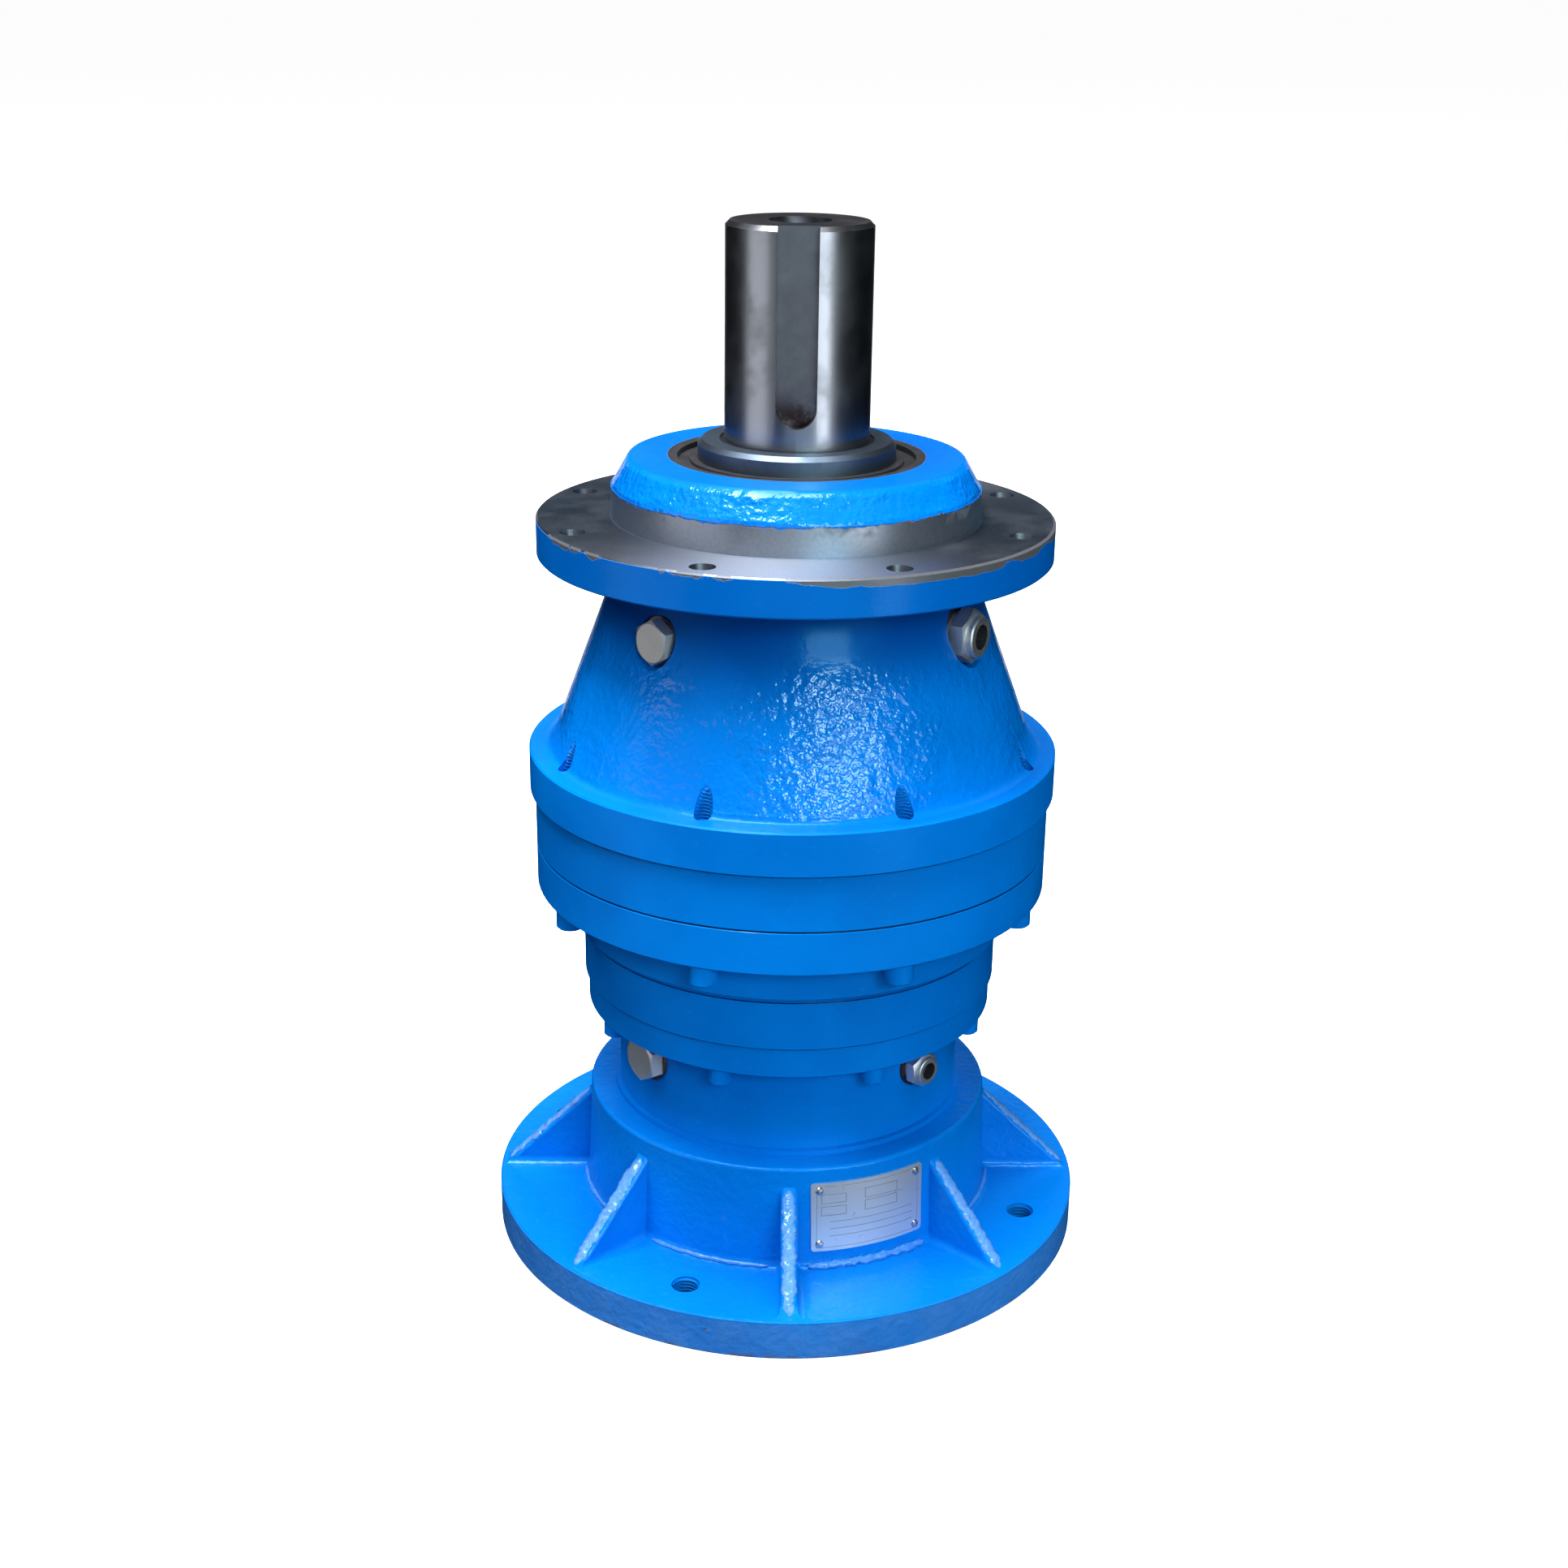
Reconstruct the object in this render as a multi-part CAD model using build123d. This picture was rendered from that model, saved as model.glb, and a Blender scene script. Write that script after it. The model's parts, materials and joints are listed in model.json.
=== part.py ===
from build123d import *
from math import acos, atan, cos, degrees, pi, radians, sin, sqrt, tan
import os

# Two-stage coaxial planetary gearbox. It stands on its motor adapter with the keyed output shaft up.
# Millimetres and degrees. The origin is the centre of the adapter's bottom face, +Z is the common
# axis, and the side with the nameplate faces -Y.

# Fits
seat_gap = 0.02        # between a seat and the piece that is pressed or clamped on it
run_gap = 0.05         # radial play of a running fit
thread_gap = 0.05      # between a thread's crest circle and its tapped hole
end_play = 0.3         # axial play of a planet gear between its thrust washers
screw_clearance = 0.6  # between a screw's shank and the plain hole that it passes through

# Workshop values
over = 1.0             # how far a cutting tool reaches past the face that it cuts
same_point = 1e-6      # two points nearer than this are one
edge_break = 1.0       # on turned rims and plates
seam_break = 0.8       # on both sides of a seam between two casings
screw_chamfer = 1.0    # at a screw's, a pin's or a shaft's end
relief = 2.0           # axial room beside a bearing's seat
socket_share = 0.5     # depth of a socket in its head
hexagon_face = 0.95    # radius of a hexagon's round face, of half its size over flats

# Motor adapter
motor_flange_r = 175.0
motor_flange_t = 24.0
motor_hole_circle_r = 150.0
motor_hole_r = 8.0
motor_hole_count = 4
motor_hole_turn = -112.5
motor_spigot_r = 125.0
motor_spigot_depth = 6.0
motor_cavity_r = 104.0
adapter_height = 86.0
hub_foot_r = 121.0
hub_top_r = 118.5
adapter_web_t = 16.0
cast_fillet = 5.0
rib_count = 8
rib_turn = -90.0
rib_t = 9.5
rib_rise = 51.0
rib_end_r = 171.5
rib_edge_fillet = 2.5
rib_foot_fillet = 4.0
rib_root = 4.0         # how far a rib reaches into the hub
hub_rim_fillet = 2.0

# Input housing
input_body_r = 101.0
input_foot_r = 104.0
input_foot_t = 3.0
input_body_h = 57.0
input_chamber_r = 88.0
input_floor_t = 8.0
input_register_r = 75.0
input_register_h = 4.0
small_flange_r = 119.0
small_flange_t = 18.0
small_flange_fillet = 3.0

# Casing stack above the input housing
ring_1_r = 121.0
ring_1_h = 28.5
neck_r = 124.5
neck_h = 28.5
neck_chamfer = 4.0
neck_fillet = 2.5
big_flange_r = 147.6
big_flange_t = 25.0
mid_web_t = 14.0
mid_web_rise = 21.5
carrier_room = 8.0     # between a carrier's rim and the casing round it
ring_2_r = 147.6
ring_2_h = 32.0
housing_foot_r = 150.6
housing_foot_t = 25.0

# Output housing
cone_h = 111.0
cone_foot_r = 138.0
cone_top_r = 96.5
cone_foot_fillet = 7.0
cone_top_fillet = 6.0
output_flange_r = 143.7
output_flange_t = 21.0
output_hole_circle_r = 130.0
output_hole_r = 7.0
output_hole_count = 8
output_hole_turn = -112.0
output_spigot_r = 102.3
output_spigot_h = 16.5
boss_foot_r = 102.0
boss_top_r = 92.5
boss_h = 16.5
boss_fillet = 2.5
bearing_shoulder = 7.0 # how far a shoulder reaches over a bearing's outer ring
cone_wall = 14.0
lower_shoulder_h = 6.0
upper_shoulder_h = 8.0
shaft_room = 3.0       # between the output shaft's hub and the step round it

# Gears. Every gear of a stage has the stage's module; the ring's teeth follow from the other two.
pressure_angle = 25.0
addendum = 1.0         # of the module
dedendum = 1.25        # of the module
flank_gap = 0.09       # taken from each flank at the pitch circle
planet_count = 3
planet_turn = 30.0
module_1 = 3.0
sun_teeth_1 = 18
planet_teeth_1 = 18
module_2 = 4.0
sun_teeth_2 = 15
planet_teeth_2 = 18

# Carriers
carrier_1_t = 17.0
carrier_2_t = 23.0
cover_plate_t = 12.0
column_gap = 2.0       # between a carrier's columns and the teeth beside them
pin_1_r = 10.0
pin_2_r = 14.0
bush_wall = 3.5
washer_1_t = 1.5
washer_2_t = 2.0
washer_rim = 7.0       # how far a thrust washer reaches past its pin
carrier_journal_r = 30.0
journal_bush_wall = 4.0
journal_bush_flange_r = 42.0
journal_bush_flange_t = 2.7
carrier_screw_r = 5.0
carrier_screw_grip = 16.0
carrier_chamfer = 2.0
pin_rest = 2.0         # what a cover plate leaves under its planet pins
pin_stop_1 = 3.0       # what the first carrier leaves over its planet pins
pin_stop_2 = 4.0       # what the output shaft's hub leaves over its planet pins
blind_depth = 2.0      # of a tapped hole past its screw's end

# Output shaft
shaft_end_r = 40.0
shaft_end_length = 116.4
shaft_chamfer = 2.5
keyway_w = 22.0
keyway_depth = 9.0
keyway_foot = 12.0
keyway_turn = -92.0
sleeve_seat_r = 42.5
sleeve_r = 54.5
sleeve_h = 24.0
upper_bore_r = 45.0
upper_cup_r = 70.0
upper_cone_w = 32.0
upper_cup_w = 24.0
upper_roller_r = 5.6
upper_roller_length = 20.0
lower_bore_r = 55.0
lower_cup_r = 85.0
lower_cone_w = 38.0
lower_cup_w = 29.0
lower_roller_r = 7.2
lower_roller_length = 25.0
roller_count = 16
roller_angle = 13.0
roller_side_gap = 0.5  # between a roller's end and the rib beside it
roller_guide = 1.0     # how far the low rib stands up beside the rollers
roller_stop = 0.6      # the high rib's height, of the roller's radius
bearing_cage_half_t = 1.2
bearing_cage_low = 3.5   # how far a roller cage reaches past the rollers' small ends
bearing_cage_high = 3.0  # and past their large ends
bearing_cage_tilt = 0.35 # from the rollers' axes towards the cup, of the spread
cage_play = 0.3
cage_end_play = 0.6
shaft_body_r = 50.0
shaft_hub_r = 62.0
shaft_hub_h = 22.0
shaft_hub_fillet = 4.0
sleeve_chamfer = 2.5
sleeve_inset = 1.5     # from the seal's lower side to the sleeve's lower end
lock_washer_t = 2.0
lock_washer_r = 58.0
lock_nut_h = 14.0
lock_nut_r = 60.0
lock_nut_slot_w = 10.0
lock_nut_slot_depth = 4.0
lock_nut_slot_count = 4
seal_t = 12.0
seal_sink = 0.5
shaft_hole_r = 12.0
shaft_hole_depth = 50.0
shaft_recess_r = 17.0
shaft_recess_depth = 6.0

# Input shaft and its bearing
motor_bore_r = 21.0
motor_bore_depth = 110.0
input_shaft_inset = 8.0  # more than motor_spigot_depth, so that a motor's spigot stays clear of it
input_key_w = 12.0
input_key_reach = 24.3
input_key_length = 92.0
input_land_r = 32.5
input_seat_r = 30.0
input_neck_r = 22.5
input_bearing_r = 55.0
input_bearing_w = 22.0
input_shoulder = 7.0
input_seat_room = 14.0 # above the circlip, before the neck's cone
input_cone_h = 8.0
ball_r = 8.7
ball_count = 9
ball_land = 0.72       # height of the rings' shoulders from the ball circle, of the ball's radius
ball_cage_share = 1 / 3  # half the cage's thickness, of the land
ball_cage_inset = 0.5
circlip_t = 2.0
circlip_depth = 2.0
circlip_rim = 5.0
sun_circlip_rim = 3.5
circlip_mouth = 7.0
input_seal_r = 45.0
input_seal_t = 10.0
seal_wall = 0.28       # of a lip seal's width
seal_lip_low = 0.35    # of its thickness: the lip's lower slope
seal_lip_high = 0.1    # how far the lip stays under the seal's top
seal_hollow = 0.25     # the hollow's depth from the top

# Sun of the second stage
sun_2_shaft_r = 22.5
spline_root_r = 20.0
spline_count = 8
sun_pocket_r = 28.5
sun_pocket_depth = 6.0
sun_end_gap = 0.5      # from a sun's toothed end to the carrier beside it

# Fasteners
bolt_turn = -110.5     # azimuth of the first bolt of both circles
bolt_count = 8
bolt_1_circle_r = 111.0
bolt_1_r = 4.0
bolt_1_head_r = 6.5
bolt_1_head_h = 8.0
bolt_1_socket = 6.0
bolt_1_washer_t = 2.0
bolt_1_bite = 15.0     # into the intermediate flange
bolt_2_circle_r = 137.0
bolt_2_r = 5.0
bolt_2_head_r = 8.0
bolt_2_head_h = 10.0
bolt_2_socket = 8.0
bolt_2_washer_t = 2.5
bolt_2_hole_rise = 24.0  # how far the tapped holes cut into the cone's foot
bolt_end_sink = 2.5
spring_washer_bore = 0.4 # play round the shank
spring_washer_split = 2.0
adapter_screw_circle_r = 87.0
adapter_screw_r = 5.0
adapter_screw_head_r = 8.0
adapter_screw_head_h = 10.0
adapter_screw_socket = 8.0
adapter_screw_reach = 18.0
o_ring_w = 3.0
o_ring_depth = 2.4
o_ring_wall = 4.0      # from the bore or register to the groove

# Plugs: a hexagon plug on the left and a vent on the right, in both housings
upper_plug_z = 379.5
upper_plug_turn = -134.0
upper_plug_r = 8.3
upper_plug_across = 22.0
upper_vent_turn = -32.0
upper_vent_r = 10.5
upper_vent_across = 27.0
lower_plug_z = 127.5
lower_plug_turn = -142.0
lower_plug_r = 8.3
lower_plug_across = 24.0
lower_vent_turn = -45.0
lower_vent_r = 6.6
lower_vent_across = 19.0
plug_seat_sink = 1.0
plug_head_h = 8.0
plug_washer_t = 1.5
plug_washer_rim = 0.5  # past the hexagon's corners
plug_face_rim = 1.0    # past the washer
plug_stub = 2.0
plug_bevel = 1.5
vent_neck_h = 0.11     # the heights and radii of a vent, of its size over flats
vent_neck_r = 0.46
vent_hexagon_h = 0.3
vent_collar_h = 0.15
vent_collar_r = 0.425
vent_bore_r = 0.255
vent_bore_depth = 0.3
vent_round = 0.05

# Nameplate
plate_turn = -67.4
plate_w = 69.0
plate_h = 42.5
plate_z = 55.5
plate_t = 1.0
plate_corner = 2.0
rivet_r = 1.5
rivet_head_r = 2.4
rivet_head_h = 1.3
rivet_inset = 4.5
rivet_depth = 6.0
rivet_end_gap = 0.5
rivet_face_r = 0.75    # of the head's radius
rivet_bevel_h = 0.7    # of the head's height

# Heights of the stack's seams
z_adapter_top = adapter_height
z_small_flange = z_adapter_top + input_body_h
z_ring_1 = z_small_flange + small_flange_t
z_neck = z_ring_1 + ring_1_h
z_big_flange = z_neck + neck_h
z_ring_2 = z_big_flange + big_flange_t
z_housing = z_ring_2 + ring_2_h
z_cone = z_housing + housing_foot_t
z_output_flange = z_cone + cone_h
z_output_face = z_output_flange + output_flange_t
z_spigot_top = z_output_face + output_spigot_h
z_boss_top = z_spigot_top + boss_h

# Gear geometry
ring_teeth_1 = sun_teeth_1 + 2 * planet_teeth_1
ring_teeth_2 = sun_teeth_2 + 2 * planet_teeth_2
centre_1 = module_1 * (sun_teeth_1 + planet_teeth_1) / 2
centre_2 = module_2 * (sun_teeth_2 + planet_teeth_2) / 2
planet_tip_1 = module_1 * (planet_teeth_1 / 2 + addendum)
planet_tip_2 = module_2 * (planet_teeth_2 / 2 + addendum)
sun_tip_1 = module_1 * (sun_teeth_1 / 2 + addendum)
sun_tip_2 = module_2 * (sun_teeth_2 / 2 + addendum)
ring_tip_1 = module_1 * (ring_teeth_1 / 2 - addendum)
ring_tip_2 = module_2 * (ring_teeth_2 / 2 - addendum)
carrier_1_r = ring_tip_1 - column_gap
carrier_2_r = ring_tip_2 - column_gap
ring_root_2 = module_2 * (ring_teeth_2 / 2 + dedendum)

# Heights inside, stage by stage: the washers of a stage stand level with its ring gear's ends
z_plate_1_top = z_ring_1 - washer_1_t + end_play
z_carrier_1 = z_neck + washer_1_t - end_play
z_carrier_1_top = z_carrier_1 + carrier_1_t
z_mid_web = z_neck + mid_web_rise
z_plate_2_top = z_ring_2 - washer_2_t + end_play
z_carrier_2 = z_housing + washer_2_t - end_play
z_shaft_hub = z_carrier_2 + carrier_2_t
z_lower_bearing = z_shaft_hub + shaft_hub_h
z_lower_bearing_top = z_lower_bearing + lower_cone_w
z_seal = z_boss_top - seal_sink - seal_t
z_sleeve = z_seal - 2 * seal_sink - sleeve_inset
z_lock_nut = z_sleeve - lock_nut_h
z_upper_bearing_top = z_lock_nut - lock_washer_t
z_upper_bearing = z_upper_bearing_top - upper_cone_w
z_shaft_end = z_sleeve + sleeve_h
z_shaft_top = z_shaft_end + shaft_end_length
z_adapter_web = z_adapter_top - adapter_web_t
z_input_bearing = z_adapter_top - input_register_h
z_input_bearing_top = z_input_bearing + input_bearing_w
z_input_floor = z_input_bearing_top + input_floor_t
z_input_seal = z_input_bearing - input_seal_t

z_cone_room = z_lower_bearing_top + lower_shoulder_h
z_cone_room_top = z_upper_bearing - upper_shoulder_h

mid_bore_r = carrier_2_r + carrier_room
housing_bore_r = carrier_2_r + carrier_room
housing_step_r = lower_cup_r + bearing_shoulder
upper_shoulder_r = upper_cup_r - bearing_shoulder
lower_shoulder_r = lower_cup_r - bearing_shoulder
journal_bush_r = carrier_journal_r + journal_bush_wall
input_groove_r = input_chamber_r + o_ring_wall
neck_groove_r = input_groove_r
big_groove_r = ring_root_2 + o_ring_wall
hub_draft = degrees(atan((hub_foot_r - hub_top_r) / (z_adapter_top - motor_flange_t)))
axis_angles = [planet_turn + 360 / planet_count * k for k in range(planet_count)]
column_angles = [angle + 180 / planet_count for angle in axis_angles]


# Outlines and simple solids

def outline(corners):
    """Edges of a closed outline through (x, y) or (x, y, radius) corners, rounded where told."""
    starts, ends, arcs = [], [], []
    for i, corner in enumerate(corners):
        here = Vector(corner[0], 0, corner[1])
        radius = corner[2] if len(corner) > 2 else 0
        before = corners[i - 1]
        after = corners[(i + 1) % len(corners)]
        to_before = (Vector(before[0], 0, before[1]) - here).normalized()
        to_after = (Vector(after[0], 0, after[1]) - here).normalized()
        half = radians(to_before.get_angle(to_after)) / 2
        if radius:
            reach = radius / tan(half)
            middle_way = (to_before + to_after).normalized()
            middle = here + middle_way * (radius / sin(half) - radius)
            starts.append(here + to_before * reach)
            ends.append(here + to_after * reach)
            arcs.append(ThreePointArc(starts[-1], middle, ends[-1]))
        else:
            starts.append(here)
            ends.append(here)
    lines = []
    for i, end in enumerate(ends):
        start = starts[(i + 1) % len(starts)]
        if (start - end).length > same_point:
            lines.append(Line(end, start))
    return lines + arcs


def turned(*corners):
    """A solid of revolution about Z from (radius, height) corners."""
    return revolve(make_face(outline(corners)), Axis.Z)


def disc(radius, z_low, z_high):
    return turned((0, z_low), (radius, z_low), (radius, z_high), (0, z_high))


def tube(outer_r, inner_r, z_low, z_high, chamfer_size=0):
    """A ring, with its outer edges broken by chamfer_size."""
    c = chamfer_size
    if not c:
        return turned((inner_r, z_low), (outer_r, z_low), (outer_r, z_high), (inner_r, z_high))
    return turned((inner_r, z_low), (outer_r - c, z_low), (outer_r, z_low + c),
                  (outer_r, z_high - c), (outer_r - c, z_high), (inner_r, z_high))


def around(count, radius, start):
    """Places on a circle about Z, the first at azimuth start."""
    return [Rot(0, 0, start + 360 / count * k) * Pos(radius, 0, 0) for k in range(count)]


def joined(solids):
    whole = solids[0]
    for solid in solids[1:]:
        whole += solid
    return whole


def drilled(solid, tools):
    for tool in tools:
        solid -= tool
    return solid


def group(solids):
    """Separate solids in one node."""
    return Compound(children=list(solids))


def hexagon(across, height, bevel):
    """A hexagonal head that stands on z = 0, its far corners turned off."""
    corner_r = across / 2 / cos(pi / 6)
    block = extrude(RegularPolygon(across / 2, 6, major_radius=False), height)
    cone = turned((0, 0), (corner_r + over, 0), (corner_r + over, height - bevel),
                  (across / 2 * hexagon_face, height), (0, height))
    return block & cone


# Gears

def involute(angle):
    return tan(angle) - angle


def half_tooth(radius, teeth, module, widen):
    """Half the angle that a tooth (or a ring gear's space) takes at a radius."""
    pitch_r = module * teeth / 2
    base_r = pitch_r * cos(radians(pressure_angle))
    at_radius = acos(min(1.0, base_r / radius))
    return pi / (2 * teeth) + widen / pitch_r + involute(radians(pressure_angle)) - involute(at_radius)


def polar(radius, angle):
    return Vector(radius * cos(angle), radius * sin(angle), 0)


def toothed(teeth, module, low_r, high_r, widen, phase, height):
    """A prism whose outline has involute flanks between two radii; phase is a tooth's centre."""
    middle_r = (low_r + high_r) / 2
    low = half_tooth(low_r, teeth, module, widen)
    middle = half_tooth(middle_r, teeth, module, widen)
    high = half_tooth(high_r, teeth, module, widen)
    pitch = 2 * pi / teeth
    edges = []
    for k in range(teeth):
        at = phase + k * pitch
        edges.append(ThreePointArc(polar(low_r, at - low), polar(middle_r, at - middle),
                                   polar(high_r, at - high)))
        edges.append(ThreePointArc(polar(high_r, at - high), polar(high_r, at), polar(high_r, at + high)))
        edges.append(ThreePointArc(polar(high_r, at + high), polar(middle_r, at + middle),
                                   polar(low_r, at + low)))
        edges.append(ThreePointArc(polar(low_r, at + low), polar(low_r, at + pitch / 2),
                                   polar(low_r, at + pitch - low)))
    return extrude(make_face(edges), height)


def gear(teeth, module, phase, z_low, z_high):
    """An external gear without its bore."""
    root_r = module * (teeth / 2 - dedendum)
    tip_r = module * (teeth / 2 + addendum)
    return Pos(0, 0, z_low) * toothed(teeth, module, root_r, tip_r, -flank_gap, phase, z_high - z_low)


def ring_gear(teeth, module, phase, outer_r, z_low, z_high):
    """An internal gear; phase is the centre of a space between two teeth."""
    tip_r = module * (teeth / 2 - addendum)
    root_r = module * (teeth / 2 + dedendum)
    spaces = toothed(teeth, module, tip_r, root_r, flank_gap, phase, z_high - z_low)
    return tube(outer_r, 0, z_low, z_high, seam_break) - Pos(0, 0, z_low) * spaces


def planet_phase(angle, sun_teeth, planet_teeth):
    """A tooth's centre on the planet at this azimuth, when the sun has a tooth at azimuth 0."""
    return angle + pi + angle * sun_teeth / planet_teeth + pi / planet_teeth


def ring_phase(angle, sun_teeth, planet_teeth, ring_teeth):
    """A space's centre on the ring gear round those planets."""
    return angle * (1 + sun_teeth / ring_teeth) + pi * (planet_teeth + 1) / ring_teeth


# Fasteners

def spring_washer(radius, outer_r, thickness):
    """A split ring under z = 0."""
    ring = tube(outer_r, radius + spring_washer_bore, -thickness, 0)
    return ring - Pos(-outer_r, 0, -thickness / 2) * Box(
        2 * (outer_r - radius), spring_washer_split, thickness + over)


def socket_screw(radius, head_r, head_h, socket, length):
    """A socket-head screw whose head hangs under z = 0, with the shank up to length."""
    c = screw_chamfer
    head = turned((0, -head_h), (head_r - c, -head_h), (head_r, -head_h + c), (head_r, 0), (0, 0))
    shank = turned((0, 0), (radius, 0), (radius, length - c), (radius - c, length), (0, length))
    hollow = extrude(RegularPolygon(socket / 2, 6, major_radius=False), head_h * socket_share)
    return head + shank - Pos(0, 0, -head_h) * hollow


def countersunk_screw(radius, length, z_head):
    """A countersunk screw with its flat head at z_head and its shank above."""
    head_r = 2 * radius
    return turned((0, z_head), (head_r, z_head), (radius, z_head + head_r - radius),
                  (radius, z_head + length), (0, z_head + length))


def countersink(radius, z_head, gap):
    """The hole that a countersunk screw's head and shank fill, open below z_head."""
    head_r = 2 * radius + gap
    z_end = z_head + cover_plate_t + over
    return turned((0, z_head - over), (head_r, z_head - over), (head_r, z_head + gap),
                  (radius + gap, z_head + head_r - radius), (radius + gap, z_end), (0, z_end))


# Casings

def rib_outline(half_width, inner_r):
    """The triangle of a rib in the plane y = 0, thickened both ways."""
    low = motor_flange_t
    corners = [(inner_r, low - over), (rib_end_r, low - over), (rib_end_r, low),
               (hub_top_r, low + rib_rise), (inner_r, low + rib_rise)]
    face = make_face(outline(corners))
    return extrude(face, half_width, both=True)


def rib():
    """A gusset at azimuth 0 with rounded edges and a cast fillet at its feet."""
    inner_r = hub_top_r - rib_root
    plate = rib_outline(rib_t / 2, inner_r)
    slope = [edge for edge in plate.edges()
             if edge.center().X > hub_top_r and edge.center().Z > motor_flange_t and edge.length > rib_rise]
    plate = fillet(slope, rib_edge_fillet)
    half = rib_t / 2
    f = rib_foot_fillet
    low = motor_flange_t
    curve = f * (1 - 1 / sqrt(2))
    section = make_face([
        Line((0, -half - f, low - over), (0, half + f, low - over)),
        Line((0, half + f, low - over), (0, half + f, low)),
        ThreePointArc((0, half + f, low), (0, half + curve, low + curve), (0, half, low + f)),
        Line((0, half, low + f), (0, -half, low + f)),
        ThreePointArc((0, -half, low + f), (0, -half - curve, low + curve), (0, -half - f, low)),
        Line((0, -half - f, low), (0, -half - f, low - over))])
    foot = Pos(inner_r, 0, 0) * extrude(section, rib_end_r - inner_r, dir=(1, 0, 0))
    return plate + (foot & rib_outline(half + f, inner_r))


def rivet_places():
    """Places on the adapter's wall with +Z outward, one for each rivet of the plate."""
    places = []
    for side in (-1, 1):
        for level in (-1, 1):
            z = plate_z + level * (plate_h / 2 - rivet_inset)
            turn = plate_turn + side * degrees((plate_w / 2 - rivet_inset) / hub_r_at(z))
            places.append(Rot(0, 0, turn) * Pos(hub_r_at(z), 0, z) * Rot(0, 90 - hub_draft, 0))
    return places


def hub_r_at(z):
    share = (z - motor_flange_t) / (z_adapter_top - motor_flange_t)
    return hub_foot_r + (hub_top_r - hub_foot_r) * share


def motor_adapter():
    lip_r = (input_land_r + input_seal_r) / 2
    body = turned(
        (motor_spigot_r, 0), (motor_flange_r - edge_break, 0), (motor_flange_r, edge_break),
        (motor_flange_r, motor_flange_t - edge_break), (motor_flange_r - edge_break, motor_flange_t),
        (hub_foot_r, motor_flange_t, cast_fillet), (hub_top_r, z_adapter_top, hub_rim_fillet),
        (input_register_r, z_adapter_top), (input_register_r, z_input_bearing),
        (input_seal_r, z_input_bearing), (input_seal_r, z_input_seal), (lip_r, z_input_seal),
        (lip_r, z_adapter_web), (motor_cavity_r, z_adapter_web, cast_fillet),
        (motor_cavity_r, motor_spigot_depth), (motor_spigot_r, motor_spigot_depth))
    gusset = rib()
    for place in around(rib_count, 0, rib_turn):
        body += place * gusset
    holes = [place * disc(motor_hole_r, -over, motor_flange_t + over)
             for place in around(motor_hole_count, motor_hole_circle_r, motor_hole_turn)]
    holes += [place * disc(adapter_screw_r + screw_clearance, z_adapter_web - over, z_adapter_top + over)
              for place in around(bolt_count, adapter_screw_circle_r, bolt_turn)]
    holes += [place * disc(rivet_r + seat_gap, -rivet_depth, rivet_depth) for place in rivet_places()]
    return drilled(body, holes)


def o_ring_groove(inner_r, z_face):
    return tube(inner_r + o_ring_w, inner_r, z_face - o_ring_depth, z_face + over)


def o_ring(inner_r, z_face):
    return tube(inner_r + o_ring_w - seat_gap, inner_r + seat_gap, z_face - o_ring_depth, z_face)


def input_housing():
    register_r = input_register_r - seat_gap
    body = turned(
        (input_bearing_r, z_input_bearing), (register_r, z_input_bearing), (register_r, z_adapter_top),
        (input_foot_r, z_adapter_top), (input_foot_r, z_adapter_top + input_foot_t),
        (input_body_r, z_adapter_top + input_foot_t), (input_body_r, z_small_flange, small_flange_fillet),
        (small_flange_r - edge_break, z_small_flange), (small_flange_r, z_small_flange + edge_break),
        (small_flange_r, z_ring_1 - seam_break), (small_flange_r - seam_break, z_ring_1),
        (input_chamber_r, z_ring_1), (input_chamber_r, z_input_floor, cast_fillet),
        (input_bearing_r - input_shoulder, z_input_floor),
        (input_bearing_r - input_shoulder, z_input_bearing_top), (input_bearing_r, z_input_bearing_top))
    holes = [place * disc(bolt_1_r + screw_clearance, z_small_flange - over, z_ring_1 + over)
             for place in around(bolt_count, bolt_1_circle_r, bolt_turn)]
    holes += [place * disc(adapter_screw_r + thread_gap, z_adapter_top - over,
                           z_adapter_top + adapter_screw_reach + blind_depth)
              for place in around(bolt_count, adapter_screw_circle_r, bolt_turn)]
    holes.append(o_ring_groove(input_groove_r, z_ring_1))
    wall = input_body_r - input_chamber_r
    holes += [plug_hole(lower_plug_place(), lower_plug_r, lower_plug_across, wall, wall),
              plug_hole(lower_vent_place(), lower_vent_r, lower_vent_across, wall, wall)]
    return drilled(body, holes)


def intermediate_flange():
    chamber_r = carrier_1_r + carrier_room
    body = turned(
        (chamber_r, z_neck), (neck_r - neck_chamfer, z_neck), (neck_r, z_neck + neck_chamfer),
        (neck_r, z_big_flange, neck_fillet), (big_flange_r - edge_break, z_big_flange),
        (big_flange_r, z_big_flange + edge_break), (big_flange_r, z_ring_2 - seam_break),
        (big_flange_r - seam_break, z_ring_2), (mid_bore_r, z_ring_2),
        (mid_bore_r, z_mid_web + mid_web_t, cast_fillet), (journal_bush_r, z_mid_web + mid_web_t),
        (journal_bush_r, z_mid_web), (chamber_r, z_mid_web, cast_fillet))
    holes = [place * disc(bolt_1_r + thread_gap, z_neck - over, z_neck + bolt_1_bite + blind_depth)
             for place in around(bolt_count, bolt_1_circle_r, bolt_turn)]
    holes += [place * disc(bolt_2_r + screw_clearance, z_big_flange - over, z_ring_2 + over)
              for place in around(bolt_count, bolt_2_circle_r, bolt_turn)]
    holes.append(o_ring_groove(big_groove_r, z_ring_2))
    return drilled(body, holes)


def cone_r_at(z):
    return cone_foot_r + (cone_top_r - cone_foot_r) * (z - z_cone) / cone_h


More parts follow.
